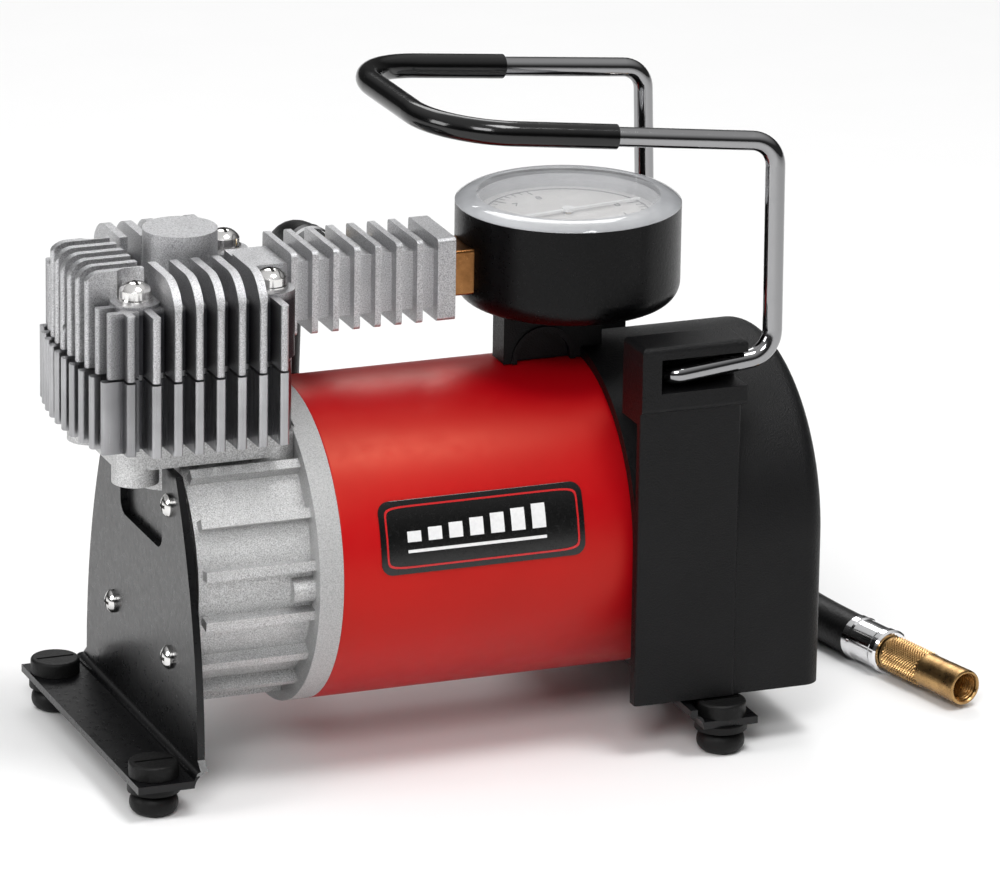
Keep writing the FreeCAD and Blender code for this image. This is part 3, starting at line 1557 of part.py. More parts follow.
piece(
    "valve_washer",
    on_lead([(1.65, washer_start), (3.9, washer_start), (3.9, washer_start + 2.4), (1.65, washer_start + 2.4)]),
)
piece(
    "valve_nut",
    on_lead(
        [
            (3.25, NUT_START),
            (NUT_RADIUS - 0.5, NUT_START),
            (NUT_RADIUS, NUT_START + 0.8),
            (NUT_RADIUS, NUT_START + 16.2),
            (NUT_RADIUS - 0.3, NUT_START + 16.8),
            (NUT_RADIUS - 0.1, NUT_START + NUT_LENGTH - 0.6),
            (NUT_RADIUS - 0.6, NUT_START + NUT_LENGTH),
            (BORE, NUT_START + NUT_LENGTH),
            (BORE, NUT_START + THREAD_START),
            (CHAMBER, NUT_START + THREAD_START),
            (CHAMBER, NUT_START + SWIVEL),
            (3.25, NUT_START + SWIVEL),
        ]
    ),
)

# ---- checks and files ----------------------------------------------------------------------------------

doc.recompute()
for thing in doc.Objects:
    if "Invalid" in thing.State or "Error" in thing.State:
        raise RuntimeError(f"{thing.Label} failed: {thing.State}")
for thing in pieces:
    if thing.Shape.isNull() or not thing.Shape.isValid():
        raise RuntimeError(f"{thing.Label} has no valid shape")
hose_volume = math.pi * num(d.hose_radius) ** 2 * hose_wire.Length
if abs(hose.Shape.Volume - hose_volume) > 0.01 * hose_volume:
    raise RuntimeError("the hose has lost part of its volume")
for thing in pieces:
    thing.Shape.exportStep(f"parts/{thing.Label}.step")
print(len(pieces), "pieces written")
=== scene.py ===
import bpy
import math
from mathutils import Matrix, Vector


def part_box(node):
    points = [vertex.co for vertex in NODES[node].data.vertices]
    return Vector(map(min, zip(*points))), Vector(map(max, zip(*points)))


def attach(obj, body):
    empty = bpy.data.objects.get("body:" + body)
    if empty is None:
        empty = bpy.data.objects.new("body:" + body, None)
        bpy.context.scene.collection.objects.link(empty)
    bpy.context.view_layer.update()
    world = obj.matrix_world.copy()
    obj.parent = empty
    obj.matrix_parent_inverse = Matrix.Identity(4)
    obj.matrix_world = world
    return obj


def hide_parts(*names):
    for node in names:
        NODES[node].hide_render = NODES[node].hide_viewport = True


bl_info = {
    "name": "Air Compressor",
    "version": (1, 0, 0),
    "blender": (4, 5, 0),
    "location": "View3D > Sidebar > Compressor",
    "description": "Dresses the compressor's frame with its finishes, hose, dial, knurl and studio",
    "category": "Object",
}

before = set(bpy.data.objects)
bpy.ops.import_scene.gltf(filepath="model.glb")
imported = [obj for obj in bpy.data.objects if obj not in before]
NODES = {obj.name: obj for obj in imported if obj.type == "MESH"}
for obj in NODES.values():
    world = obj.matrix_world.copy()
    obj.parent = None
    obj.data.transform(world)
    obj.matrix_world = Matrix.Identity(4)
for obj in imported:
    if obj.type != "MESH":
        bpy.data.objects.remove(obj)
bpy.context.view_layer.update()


# ---- materials ---------------------------------------------------------------------------------------


class Wire:
    """A value that runs between shader nodes, with Python's own operators."""

    def __init__(self, recipe, socket):
        self.recipe, self.socket = recipe, socket

    def _math(self, kind, first, second=None):
        return self.recipe.node("ShaderNodeMath", {"operation": kind}, {0: first, 1: second})

    def __add__(self, other):
        return self._math("ADD", self, other)

    def __sub__(self, other):
        return self._math("SUBTRACT", self, other)

    def __mul__(self, other):
        return self._math("MULTIPLY", self, other)

    def __pow__(self, other):
        return self._math("POWER", self, other)

    def __gt__(self, other):
        return self._math("GREATER_THAN", self, other)

    def __abs__(self):
        return self._math("ABSOLUTE", self)

    def __rsub__(self, other):
        return self._math("SUBTRACT", other, self)

    __radd__, __rmul__ = __add__, __mul__

    def low(self, other):
        return self._math("MINIMUM", self, other)


class Recipe:
    """One material, made of nodes that feed a Principled shader."""

    def __init__(self, name):
        self.material = bpy.data.materials.new(name)
        self.material.use_nodes = True
        self.tree = self.material.node_tree
        self.shader = self.tree.nodes["Principled BSDF"]

    def node(self, kind, settings, values, output=0):
        made = self.tree.nodes.new(kind)
        for name, value in settings.items():
            if name == "stops":
                ramp = made.color_ramp
                while len(ramp.elements) < len(value):
                    ramp.elements.new(0.5)
                for element, (place, colour) in zip(ramp.elements, value):
                    element.position, element.color = place, (*colour, 1)
            else:
                setattr(made, name, value)
        for name, value in values.items():
            if value is not None:
                self.feed(made.inputs[name], value)
        return Wire(self, made.outputs[output])

    def feed(self, socket, value):
        if isinstance(value, Wire):
            self.tree.links.new(value.socket, socket)
        elif socket.type == "RGBA" and len(value) == 3:
            socket.default_value = (*value, 1)
        else:
            socket.default_value = value

    def place(self):
        """Object coordinates: metres in the compressor's own frame."""
        return self.node("ShaderNodeTexCoord", {}, {}, "Object")

    def parts(self, vector):
        split = self.node("ShaderNodeSeparateXYZ", {}, {"Vector": vector})
        return [Wire(self, split.socket.node.outputs[i]) for i in range(3)]

    def noise(self, scale, detail=3.0, roughness=0.55, vector=None):
        return self.node(
            "ShaderNodeTexNoise",
            {},
            {"Vector": vector or self.place(), "Scale": scale, "Detail": detail, "Roughness": roughness},
        )

    def stretched(self, scale):
        """The place, drawn out along the axes with small numbers."""
        return self.node("ShaderNodeMapping", {}, {"Vector": self.place(), "Scale": scale})

    def mix(self, share, first, second):
        return self.node("ShaderNodeMix", {"data_type": "RGBA"}, {0: share, 6: first, 7: second}, 2)

    def spread(self, wire, low, high, out_low, out_high):
        return self.node("ShaderNodeMapRange", {}, {0: wire, 1: low, 2: high, 3: out_low, 4: out_high})

    def bump(self, height, strength, distance, normal=None):
        values = {"Height": height, "Strength": strength, "Distance": distance, "Normal": normal}
        return self.node("ShaderNodeBump", {}, values)

    def finish(self, **values):
        for name, value in values.items():
            self.feed(self.shader.inputs[name.replace("_", " ").title().replace("Ior", "IOR")], value)
        return self.material


# colour of the painted shade deep between the fins, where little light reaches
PAINTED_FIN_SHADE = (0.05, 0.05, 0.055)


def root_shade(r):
    """Painted shade between the fins: 0 at the tips of the cylinder's and the head's fins, rising to 1 deep between
    them.

    It fades out over the top of the head's core and past the head towards the motor.
    """
    x, y, z = r.parts(r.place())
    low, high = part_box("cylinder_head")
    depth = (high.y - abs(y)).low(x - low.x)
    below_top = r.spread(z, high.z - 0.0150, high.z - 0.0120, 1.0, 0.0)
    on_block = r.spread(x, high.x - 0.0005, high.x + 0.001, 1.0, 0.0)
    return r.spread(depth, 0.001, 0.0078, 0.0, 1.0) * below_top * on_block


def cast_metal(name, colour, dark, grain, rough=0.42, strength=0.5, paint_fin_shade=False):
    """Bright die casting: fine grain that catches the light, and dull patches."""
    r = Recipe(name)
    fine = r.noise(grain, 4.0, 0.7)
    patch = r.noise(90.0, 2.0)
    speck = r.spread(fine, 0.32, 0.6, 0.0, 1.0)
    tone = r.mix(r.spread(patch, 0.45, 0.7, 0.0, 0.15), r.mix(speck, dark, colour), dark)
    return r.finish(
        # with fins, painted shade darkens the colour deep between them
        base_color=r.mix(root_shade(r), tone, PAINTED_FIN_SHADE) if paint_fin_shade else tone,
        metallic=1.0,
        roughness=r.spread(fine, 0.3, 0.7, rough - 0.08, rough + 0.16),
        normal=r.bump(fine, strength, 0.0004),
    )


def crankcase_metal(finishes):
    """The casting, with a paler and duller ring where the motor tube starts."""
    r = Recipe("crankcase casting")
    x = r.parts(r.place())[0]
    ring_width = 0.0068
    ring = x > (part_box("motor_tube")[0].x - ring_width)
    fine = r.noise(3200.0, 4.0, 0.75)
    patch = r.noise(70.0, 2.0)
    speck = r.spread(fine, 0.36, 0.6, 0.0, 1.0)
    tone = r.mix(speck, (0.3, 0.3, 0.3), finishes.casting)
    worn = r.mix(r.spread(patch, 0.45, 0.7, 0.0, 0.15), tone, (0.33, 0.33, 0.33))
    return r.finish(
        base_color=r.mix(ring, worn, r.mix(speck, (0.36, 0.36, 0.36), (0.6, 0.6, 0.6))),
        metallic=r.spread(ring, 0.0, 1.0, 1.0, 0.85),
        roughness=r.spread(fine, 0.3, 0.7, 0.36, 0.5) + ring * 0.16,
        normal=r.bump(fine, 0.55, 0.0005),
    )


def extruded_metal(name, colour, paint_fin_shade=False):
    """Smooth satin fins with faint lines along the extrusion."""
    r = Recipe(name)
    lines = r.noise(1.0, 3.0, 0.6, r.stretched((2400.0, 2400.0, 40.0)))
    cloud = r.noise(60.0, 2.0)
    tone = r.mix(r.spread(cloud, 0.35, 0.7, 0.0, 1.0), colour, tuple(c * 0.72 for c in colour))
    return r.finish(
        # with fins, painted shade darkens the colour deep between them, at 0.8 strength
        base_color=r.mix(root_shade(r) * 0.8, tone, PAINTED_FIN_SHADE) if paint_fin_shade else tone,
        metallic=1.0,
        roughness=r.spread(lines, 0.3, 0.7, 0.24, 0.4),
        normal=r.bump(lines, 0.12, 0.0002),
    )


def gloss_paint(finishes):
    """Deep red lacquer with a trace of orange peel and an orange sheen."""
    r = Recipe("red lacquer")
    peel = r.noise(240.0, 2.0, 0.5)
    cloud = r.noise(18.0, 2.0)
    deeper = tuple(c * 0.86 for c in finishes.motor_red)
    return r.finish(
        base_color=r.mix(r.spread(cloud, 0.35, 0.7, 0.0, 1.0), finishes.motor_red, deeper),
        roughness=r.spread(peel, 0.3, 0.7, 0.38, 0.44),
        specular_ior_level=0.6,
        specular_tint=(1.0, 0.42, 0.24, 1.0),
        normal=r.bump(peel, 0.02, 0.0002),
    )


def dark_finish(name, colour, grain, depth, rough, swing=0.06, coat=0.0, level=0.2):
    """Black plastic, paint or rubber: grain of its own size, dust in the dull spots."""
    r = Recipe(name)
    fine = r.noise(grain, 3.0, 0.65)
    cloud = r.noise(35.0, 3.0)
    dusty = tuple(min(1.0, c * 1.7 + 0.001) for c in colour)
    return r.finish(
        base_color=r.mix(r.spread(cloud, 0.45, 0.75, 0.0, 0.6), colour, dusty),
        roughness=r.spread(fine, 0.3, 0.7, rough - swing, rough + swing),
        specular_ior_level=level,
        coat_weight=coat,
        coat_roughness=0.12,
        normal=r.bump(fine, 0.6, depth),
    )


def plated(name, colour, rough=0.09):
    """Chrome or zinc, with faint wear that dulls it in places."""
    r = Recipe(name)
    wear = r.noise(300.0, 4.0, 0.6)
    return r.finish(
        base_color=colour,
        metallic=1.0,
        roughness=r.spread(wear, 0.45, 0.8, rough, rough + 0.12),
        normal=r.bump(wear, 0.03, 0.0002),
    )


def brass_finish(name, colour, dark, rough=0.26, reach=0.5):
    """Turned brass with brown tarnish in patches."""
    r = Recipe(name)
    fine = r.noise(700.0, 3.0)
    patch = r.noise(160.0, 4.0, 0.65)
    return r.finish(
        base_color=r.mix(r.spread(patch, 0.42, 0.7, 0.0, reach), colour, dark),
        metallic=1.0,
        roughness=r.spread(fine, 0.3, 0.7, rough, rough + 0.14),
        normal=r.bump(fine, 0.15, 0.0002),
    )


def wound_copper():
    r = Recipe("copper winding")
    wave = r.node(
        "ShaderNodeTexWave",
        {"bands_direction": "DIAGONAL"},
        {"Vector": r.place(), "Scale": 500.0, "Distortion": 1.0},
        1,
    )
    return r.finish(
        base_color=r.mix(wave, (0.25, 0.07, 0.02), (0.62, 0.24, 0.09)),
        metallic=0.8,
        roughness=0.35,
        normal=r.bump(wave, 0.6, 0.0004),
    )


def from_middle(r):
    """How far a spot is from the gauge's upright axis."""
    x, y, _ = r.parts(r.place())
    low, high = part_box("gauge_dial")
    middle = (low + high) / 2
    across, along = x - middle.x, y - middle.y
    return (across * across + along * along) ** 0.5


def clear_plastic():
    """Clear plastic with a painted milky glare: a pale, partly opaque colour, greyer and more opaque at its thick
    rim.
    """
    r = Recipe("clear lens")
    haze_and_glare = r.noise(120.0, 3.0)
    rim = r.spread(from_middle(r), 0.0238, 0.025, 0.0, 1.0)
    return r.finish(
        # the pale, partly opaque colour is a painted glare over the dial; towards the rim it turns greyer and more
        # opaque
        base_color=r.mix(rim, (0.9, 0.91, 0.93), (0.5, 0.51, 0.53)),
        roughness=r.spread(haze_and_glare, 0.4, 0.8, 0.02, 0.08),
        alpha=r.spread(haze_and_glare, 0.35, 0.7, 0.2, 0.3) + rim * 0.5,
        coat_weight=0.6,
        coat_roughness=0.03,
        normal=r.bump(haze_and_glare, 0.05, 0.0003),
    )


def printed_dial():
    """A pale grey face with painted shade: darker towards its edge, next to the case's wall."""
    r = Recipe("dial face")
    edge = r.spread(from_middle(r), 0.018, 0.0276, 0.0, 1.0)
    grain = r.noise(500.0, 2.0)
    return r.finish(
        # the darker grey near the edge is painted shade
        base_color=r.mix(edge, (0.56, 0.54, 0.52), (0.4, 0.39, 0.385)),
        roughness=r.spread(grain, 0.3, 0.7, 0.34, 0.44),
        metallic=0.15,
    )


def label_film(name, colour, rough):
    r = Recipe(name)
    grain = r.noise(900.0, 2.0)
    return r.finish(
        base_color=r.mix(r.spread(grain, 0.3, 0.7, 0.0, 0.5), colour, tuple(c * 0.8 for c in colour)),
        roughness=r.spread(grain, 0.3, 0.7, rough - 0.03, rough + 0.05),
        normal=r.bump(grain, 0.05, 0.0001),
    )


def floor_paper(finishes):
    r = Recipe("studio floor")
    shade = tuple(c * 0.98 for c in finishes.floor_colour)
    return r.finish(base_color=r.mix(r.noise(30.0, 2.0), finishes.floor_colour, shade), roughness=0.75)


# ---- small tools ---------------------------------------------------------------------------------------


def clear_choice():
    if bpy.context.object and bpy.context.object.mode != "OBJECT":
        bpy.ops.object.mode_set(mode="OBJECT")
    bpy.ops.object.select_all(action="DESELECT")


def only(piece):
    clear_choice()
    piece.select_set(True)
    bpy.context.view_layer.objects.active = piece


def settled(piece, name):
    """Puts the piece's place into its mesh, so that its object sits at the origin."""
    only(piece)
    bpy.ops.object.transform_apply(location=True, rotation=True, scale=True)
    piece.name = piece.data.name = name
    return piece


def applied(piece, kind, **settings):
    only(piece)
    modifier = piece.modifiers.new(kind.title(), kind)
    for name, value in settings.items():
        setattr(modifier, name, value)
    bpy.ops.object.modifier_apply(modifier=modifier.name)
    return piece


def dress(piece, material, body):
    piece.data.materials.clear()
    piece.data.materials.append(material)
    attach(piece, body)
    return piece


def joined(pieces, name):
    clear_choice()
    for piece in pieces:
        piece.select_set(True)
    bpy.context.view_layer.objects.active = pieces[0]
    bpy.ops.object.join()
    return settled(bpy.context.object, name)


def bar_piece(centre, sizes, turn=None):
    """A small printed bar: a cube at its size, with its long edges bevelled."""
    clear_choice()
    bpy.ops.mesh.primitive_cube_add(size=1, location=centre, scale=sizes)
    piece = bpy.context.object
    if turn:
        piece.rotation_euler = turn
    only(piece)
    bpy.ops.object.transform_apply(location=False, rotation=False, scale=True)
    return applied(piece, "BEVEL", width=min(sizes) * 0.25, segments=1)


# ---- settings ------------------------------------------------------------------------------------------


class CompressorFinishes(bpy.types.PropertyGroup):
    motor_red: bpy.props.FloatVectorProperty(
        name="Motor red", description="Lacquer of the motor tube", subtype="COLOR", default=(0.42, 0.0, 0.005)
    )
    casting: bpy.props.FloatVectorProperty(
        name="Casting", description="Bright metal of the crankcase", subtype="COLOR", default=(0.78, 0.78, 0.78)
    )
    fins: bpy.props.FloatVectorProperty(
        name="Fins", description="Satin metal of the finned cylinder", subtype="COLOR", default=(0.42, 0.42, 0.43)
    )
    floor_colour: bpy.props.FloatVectorProperty(
        name="Floor", description="Paper under the compressor", subtype="COLOR", default=(0.86, 0.86, 0.86)
    )


class CompressorSizes(bpy.types.PropertyGroup):
    hose_diameter: bpy.props.FloatProperty(
        name="Hose diameter", description="Outside of the hose", subtype="DISTANCE", default=0.0116
    )
    hose_length: bpy.props.FloatProperty(
        name="Hose length", description="Hose from the manifold to the connector", subtype="DISTANCE", default=0.43
    )
    knurl_turns: bpy.props.IntProperty(name="Knurl teeth", description="Teeth round the connector", default=26, min=8)
    knurl_rows: bpy.props.IntProperty(name="Knurl rows", description="Rows of teeth along it", default=15, min=2)
    lens: bpy.props.FloatProperty(name="Lens", description="Focal length in millimetres", default=277.94)


# ---- stage ---------------------------------------------------------------------------------------------


class COMPRESSOR_OT_stage(bpy.types.Operator):
    """Adds the floor, the lights and the camera"""

    bl_idname = "compressor.stage"
    bl_label = "Stage"

    def execute(self, context):
        finishes, sizes = context.scene.compressor_finishes, context.scene.compressor_sizes
        clear_choice()
        bpy.ops.mesh.primitive_plane_add(size=14, location=(0, 1.0, 0))
        floor = context.object
        floor.name = "floor"
        floor.data.materials.append(floor_paper(finishes))
        lamps = [
            # name, place, aim, size, power
            ("key", (-0.55, -1.05, 1.0), (0, 0, 0.07), 0.5, 9.0),
            ("overhead", (0.22, -0.4, 1.4), (-0.01, 0, 0.08), 0.45, 9.5),
            ("left strip", (-1.25, -0.1, 0.6), (-0.05, 0, 0.08), 0.5, 6.0),
            ("backdrop", (0.5, 1.7, 1.6), (0.35, 0.8, 0), 1.0, 12.0),
        ]
        for name, place, aim, size, power in lamps:
            bpy.ops.object.light_add(type="AREA", location=place)
            lamp = context.object
            lamp.name = name
            lamp.data.size, lamp.data.energy = size, power
            lamp.rotation_euler = (Vector(aim) - Vector(place)).to_track_quat("-Z", "Y").to_euler()
        world = bpy.data.worlds.new("studio")
        world.use_nodes = True
        nodes, links = world.node_tree.nodes, world.node_tree.links
        # a bright ceiling over dark walls, which gives the chrome its black and white
        toward = nodes.new("ShaderNodeTexCoord")
        split, rise = nodes.new("ShaderNodeSeparateXYZ"), nodes.new("ShaderNodeMapRange")
        links.new(toward.outputs["Generated"], split.inputs[0])
        links.new(split.outputs[2], rise.inputs[0])
        for socket, value in ((1, 0.3), (2, 0.8), (3, 0.06), (4, 0.75)):
            rise.inputs[socket].default_value = value
        links.new(rise.outputs[0], nodes["Background"].inputs[1])
        nodes["Background"].inputs[0].default_value = (1, 1, 1, 1)
        context.scene.world = world
        context.scene.view_settings.view_transform = "Standard"
        turn, rise, roll = (math.radians(v) for v in (-21.4804, 18.4172, 0.8831))
        back = Vector((math.sin(turn) * math.cos(rise), -math.cos(turn) * math.cos(rise), math.sin(rise)))
        right = Vector((math.cos(turn), math.sin(turn), 0))
        up = back.cross(right)
        tilted_right = right * math.cos(roll) + up * math.sin(roll)
        tilted_up = up * math.cos(roll) - right * math.sin(roll)
        bpy.ops.object.camera_add(location=(-0.68895, -1.81031, 0.7259))
        camera = context.object
        camera.rotation_euler = Matrix((tilted_right, tilted_up, back)).transposed().to_euler()
        camera.data.lens, camera.data.sensor_width = sizes.lens, 36
        camera.data.clip_start, camera.data.clip_end = 0.1, 40
        context.scene.camera = camera
        return {"FINISHED"}


# ---- hose ----------------------------------------------------------------------------------------------

HOSE_POINTS = [
    (-0.0211, 0.0280, 0.1265),
    (-0.0211, 0.0390, 0.1265),
    (-0.0211, 0.0485, 0.1170),
    (-0.0209, 0.0505, 0.0970),
    (-0.0197, 0.0560, 0.0660),
    (-0.0164, 0.0770, 0.0300),
    (-0.0084, 0.1126, 0.0090),
    (0.0118, 0.1455, 0.0062),
    (0.0467, 0.1622, 0.0062),
    (0.0850, 0.1571, 0.0062),
    (0.1143, 0.1320, 0.0062),
    (0.1253, 0.0950, 0.0062),
    (0.1260, 0.0560, 0.0062),
    (0.1279, 0.0250, 0.0062),
    (0.1324, 0.0061, 0.0062),
]


class COMPRESSOR_OT_hose(bpy.types.Operator):
    """Lays the rubber hose from the manifold to its connector"""

    bl_idname = "compressor.hose"
    bl_label = "Air hose"

    def execute(self, context):
        sizes = context.scene.compressor_sizes
        curve = bpy.data.curves.new("hose", "CURVE")
        curve.dimensions = "3D"
        spline = curve.splines.new("NURBS")
        spline.points.add(len(HOSE_POINTS) - 1)
        for point, place in zip(spline.points, HOSE_POINTS):
            point.co = (*place, 1)
        spline.order_u, spline.use_endpoint_u, spline.resolution_u = 3, True, 16
        curve.bevel_depth, curve.bevel_resolution, curve.use_fill_caps = sizes.hose_diameter / 2, 10, True
        hose = bpy.data.objects.new("hose", curve)
        context.scene.collection.objects.link(hose)
        dress(hose, dark_finish("hose rubber", (0.002, 0.002, 0.0022), 900.0, 0.0002, 0.4), "base")
        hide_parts("air_hose")
        return {"FINISHED"}


# ---- connector nut ---------------------------------------------------------------------------------------


# metres: the nut starts this far beyond the hose's end; its teeth and its thread
NUT_SETBACK, KNURL_RADIUS, TOOTH_HEIGHT = 0.0152, 0.00462, 0.00062
THREAD_START, THREAD_PITCH, THREAD_TURNS = 0.0225, 0.00095, 10


class COMPRESSOR_OT_nut(bpy.types.Operator):
    """Cuts the diamond knurl round the connector nut"""

    bl_idname = "compressor.nut"
    bl_label = "Knurled nut"

    def execute(self, context):
        sizes = context.scene.compressor_sizes
        lead = (Vector(HOSE_POINTS[-1]) - Vector(HOSE_POINTS[-2])).normalized()
        start = Vector(HOSE_POINTS[-1]) + lead * NUT_SETBACK
        radius, knurl_from, knurl_to = KNURL_RADIUS, 0.0010, 0.0160
        rows, turns = sizes.knurl_rows, sizes.knurl_turns
        pitch = (knurl_to - knurl_from) / rows
        width = 2 * math.pi * radius / turns
        teeth = []
        for half in (0, 1):
            clear_choice()
            bpy.ops.mesh.primitive_cone_add(
                vertices=4, radius1=0.5, radius2=0.06, depth=1, location=(0, 0, 0)
            )
            tooth = context.object
            tooth.scale = (pitch * 1.02, width * 1.02, TOOTH_HEIGHT)
            tooth.location = (knurl_from + pitch * (0.5 + 0.5 * half), 0, radius + 0.00012)
            bpy.ops.object.transform_apply(location=True, rotation=True, scale=True)
            applied(
                tooth,
                "ARRAY",
                count=rows - half,
                use_relative_offset=False,
                use_constant_offset=True,
                constant_offset_displace=(pitch, 0, 0),
            )
            bpy.ops.object.mode_set(mode="EDIT")
            bpy.ops.mesh.select_all(action="SELECT")
            bpy.ops.transform.rotate(
                value=math.pi / turns * half, orient_axis="X", center_override=(0, 0, 0), orient_type="GLOBAL"
            )
            bpy.ops.mesh.select_all(action="SELECT")
            step = 2 * math.pi / turns
            bpy.ops.mesh.spin(
                steps=turns - 1,
                dupli=True,
                angle=step * (turns - 1),
                center=(0, 0, 0),
                axis=(1, 0, 0),
            )
            bpy.ops.object.mode_set(mode="OBJECT")
            teeth.append(tooth)
        # (distance along the nut, distance from its axis): outside to the mouth, then back through the bore
        outline = [
            (0.0, 0.00325), (0.0, 0.0044), (0.0004, 0.0048), (0.0008, 0.00462), (0.0160, 0.00462),
            (0.0164, 0.00485), (0.0171, 0.0047), (0.0318, 0.0049), (0.0322, 0.0048), (0.0324, 0.0044),
            (0.0324, 0.0041), (0.0320, 0.00385), (0.0155, 0.00385), (0.0155, 0.0041), (0.0092, 0.0041),
            (0.0092, 0.00325),
        ]
        clear_choice()
        bpy.ops.mesh.primitive_circle_add(vertices=len(outline), radius=1, fill_type="NOTHING")
        body = context.object
        for vertex, (along, out) in zip(body.data.vertices, outline):
            vertex.co = (along, 0, out)
        bpy.ops.object.mode_set(mode="EDIT")
        bpy.ops.mesh.select_all(action="SELECT")
        bpy.ops.mesh.spin(steps=64, angle=2 * math.pi, center=(0, 0, 0), axis=(1, 0, 0))
        bpy.ops.mesh.select_all(action="SELECT")
        bpy.ops.mesh.remove_doubles(threshold=0.00002)
        bpy.ops.mesh.normals_make_consistent(inside=False)
        bpy.ops.object.mode_set(mode="OBJECT")
        threads = []
        for k in range(THREAD_TURNS):
            clear_choice()
            bpy.ops.mesh.primitive_torus_add(
                major_segments=48,
                minor_segments=6,
                major_radius=0.0039,
                minor_radius=0.00034,
                location=(THREAD_START + THREAD_PITCH * k, 0, 0),
                rotation=(0, math.pi / 2, 0),
            )
            bpy.ops.object.transform_apply(location=True, rotation=True, scale=True)
            threads.append(context.object)
        nut = joined([body, *teeth, *threads], "knurled_nut")
        nut.matrix_world = Matrix.Translation(start) @ lead.to_track_quat("X", "Z").to_matrix().to_4x4()
        settled(nut, "knurled_nut")
        bpy.ops.object.shade_smooth_by_angle(angle=math.radians(28))
        dress(nut, brass_finish("connector brass", (0.5, 0.31, 0.13), (0.17, 0.09, 0.035), 0.24, 0.7), "nut")
        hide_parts("valve_nut")
        return {"FINISHED"}


# ---- motor tube and label --------------------------------------------------------------------------------


def axis_height():
    low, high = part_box("motor_tube")
    return (low.z + high.z) / 2


class COMPRESSOR_OT_tube(bpy.types.Operator):
    """Rolls the lacquered motor tube with its soft edges"""

    bl_idname = "compressor.tube"
    bl_label = "Motor tube"

    def execute(self, context):
        low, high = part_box("motor_tube")
        radius, length = (high.z - low.z) / 2, high.x - low.x
        clear_choice()
        bpy.ops.mesh.primitive_cylinder_add(
            vertices=192,
            radius=radius - 0.002,
            depth=length,
            end_fill_type="NOTHING",
            location=((low.x + high.x) / 2, 0, axis_height()),
            rotation=(0, math.pi / 2, 0),
        )
        piece = context.object
        settled(piece, "lacquered_tube")
        applied(piece, "SOLIDIFY", thickness=0.002, offset=1)
        applied(piece, "BEVEL", width=0.0004, segments=3, limit_method="ANGLE", angle_limit=math.radians(50))
        only(piece)
        bpy.ops.object.shade_smooth_by_angle(angle=math.radians(35))
        dress(piece, gloss_paint(context.scene.compressor_finishes), "base")
        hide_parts("motor_tube")
        return {"FINISHED"}


# metres: how far the print stands off the tube, the border and the bars of the sign
PRINT_PROUD, BORDER_IN, BORDER_WIDTH, SQUARENESS = 0.00048, 0.0014, 0.0005, 0.16
BAR_COUNT, BAR_START, BAR_PITCH, BAR_WIDTH, BAR_GROWTH = 7, -0.021, 0.0058, 0.0038, 0.0006
LABEL_MIDDLE, LABEL_HALF_TURN = math.radians(164.35), math.radians(12.85)


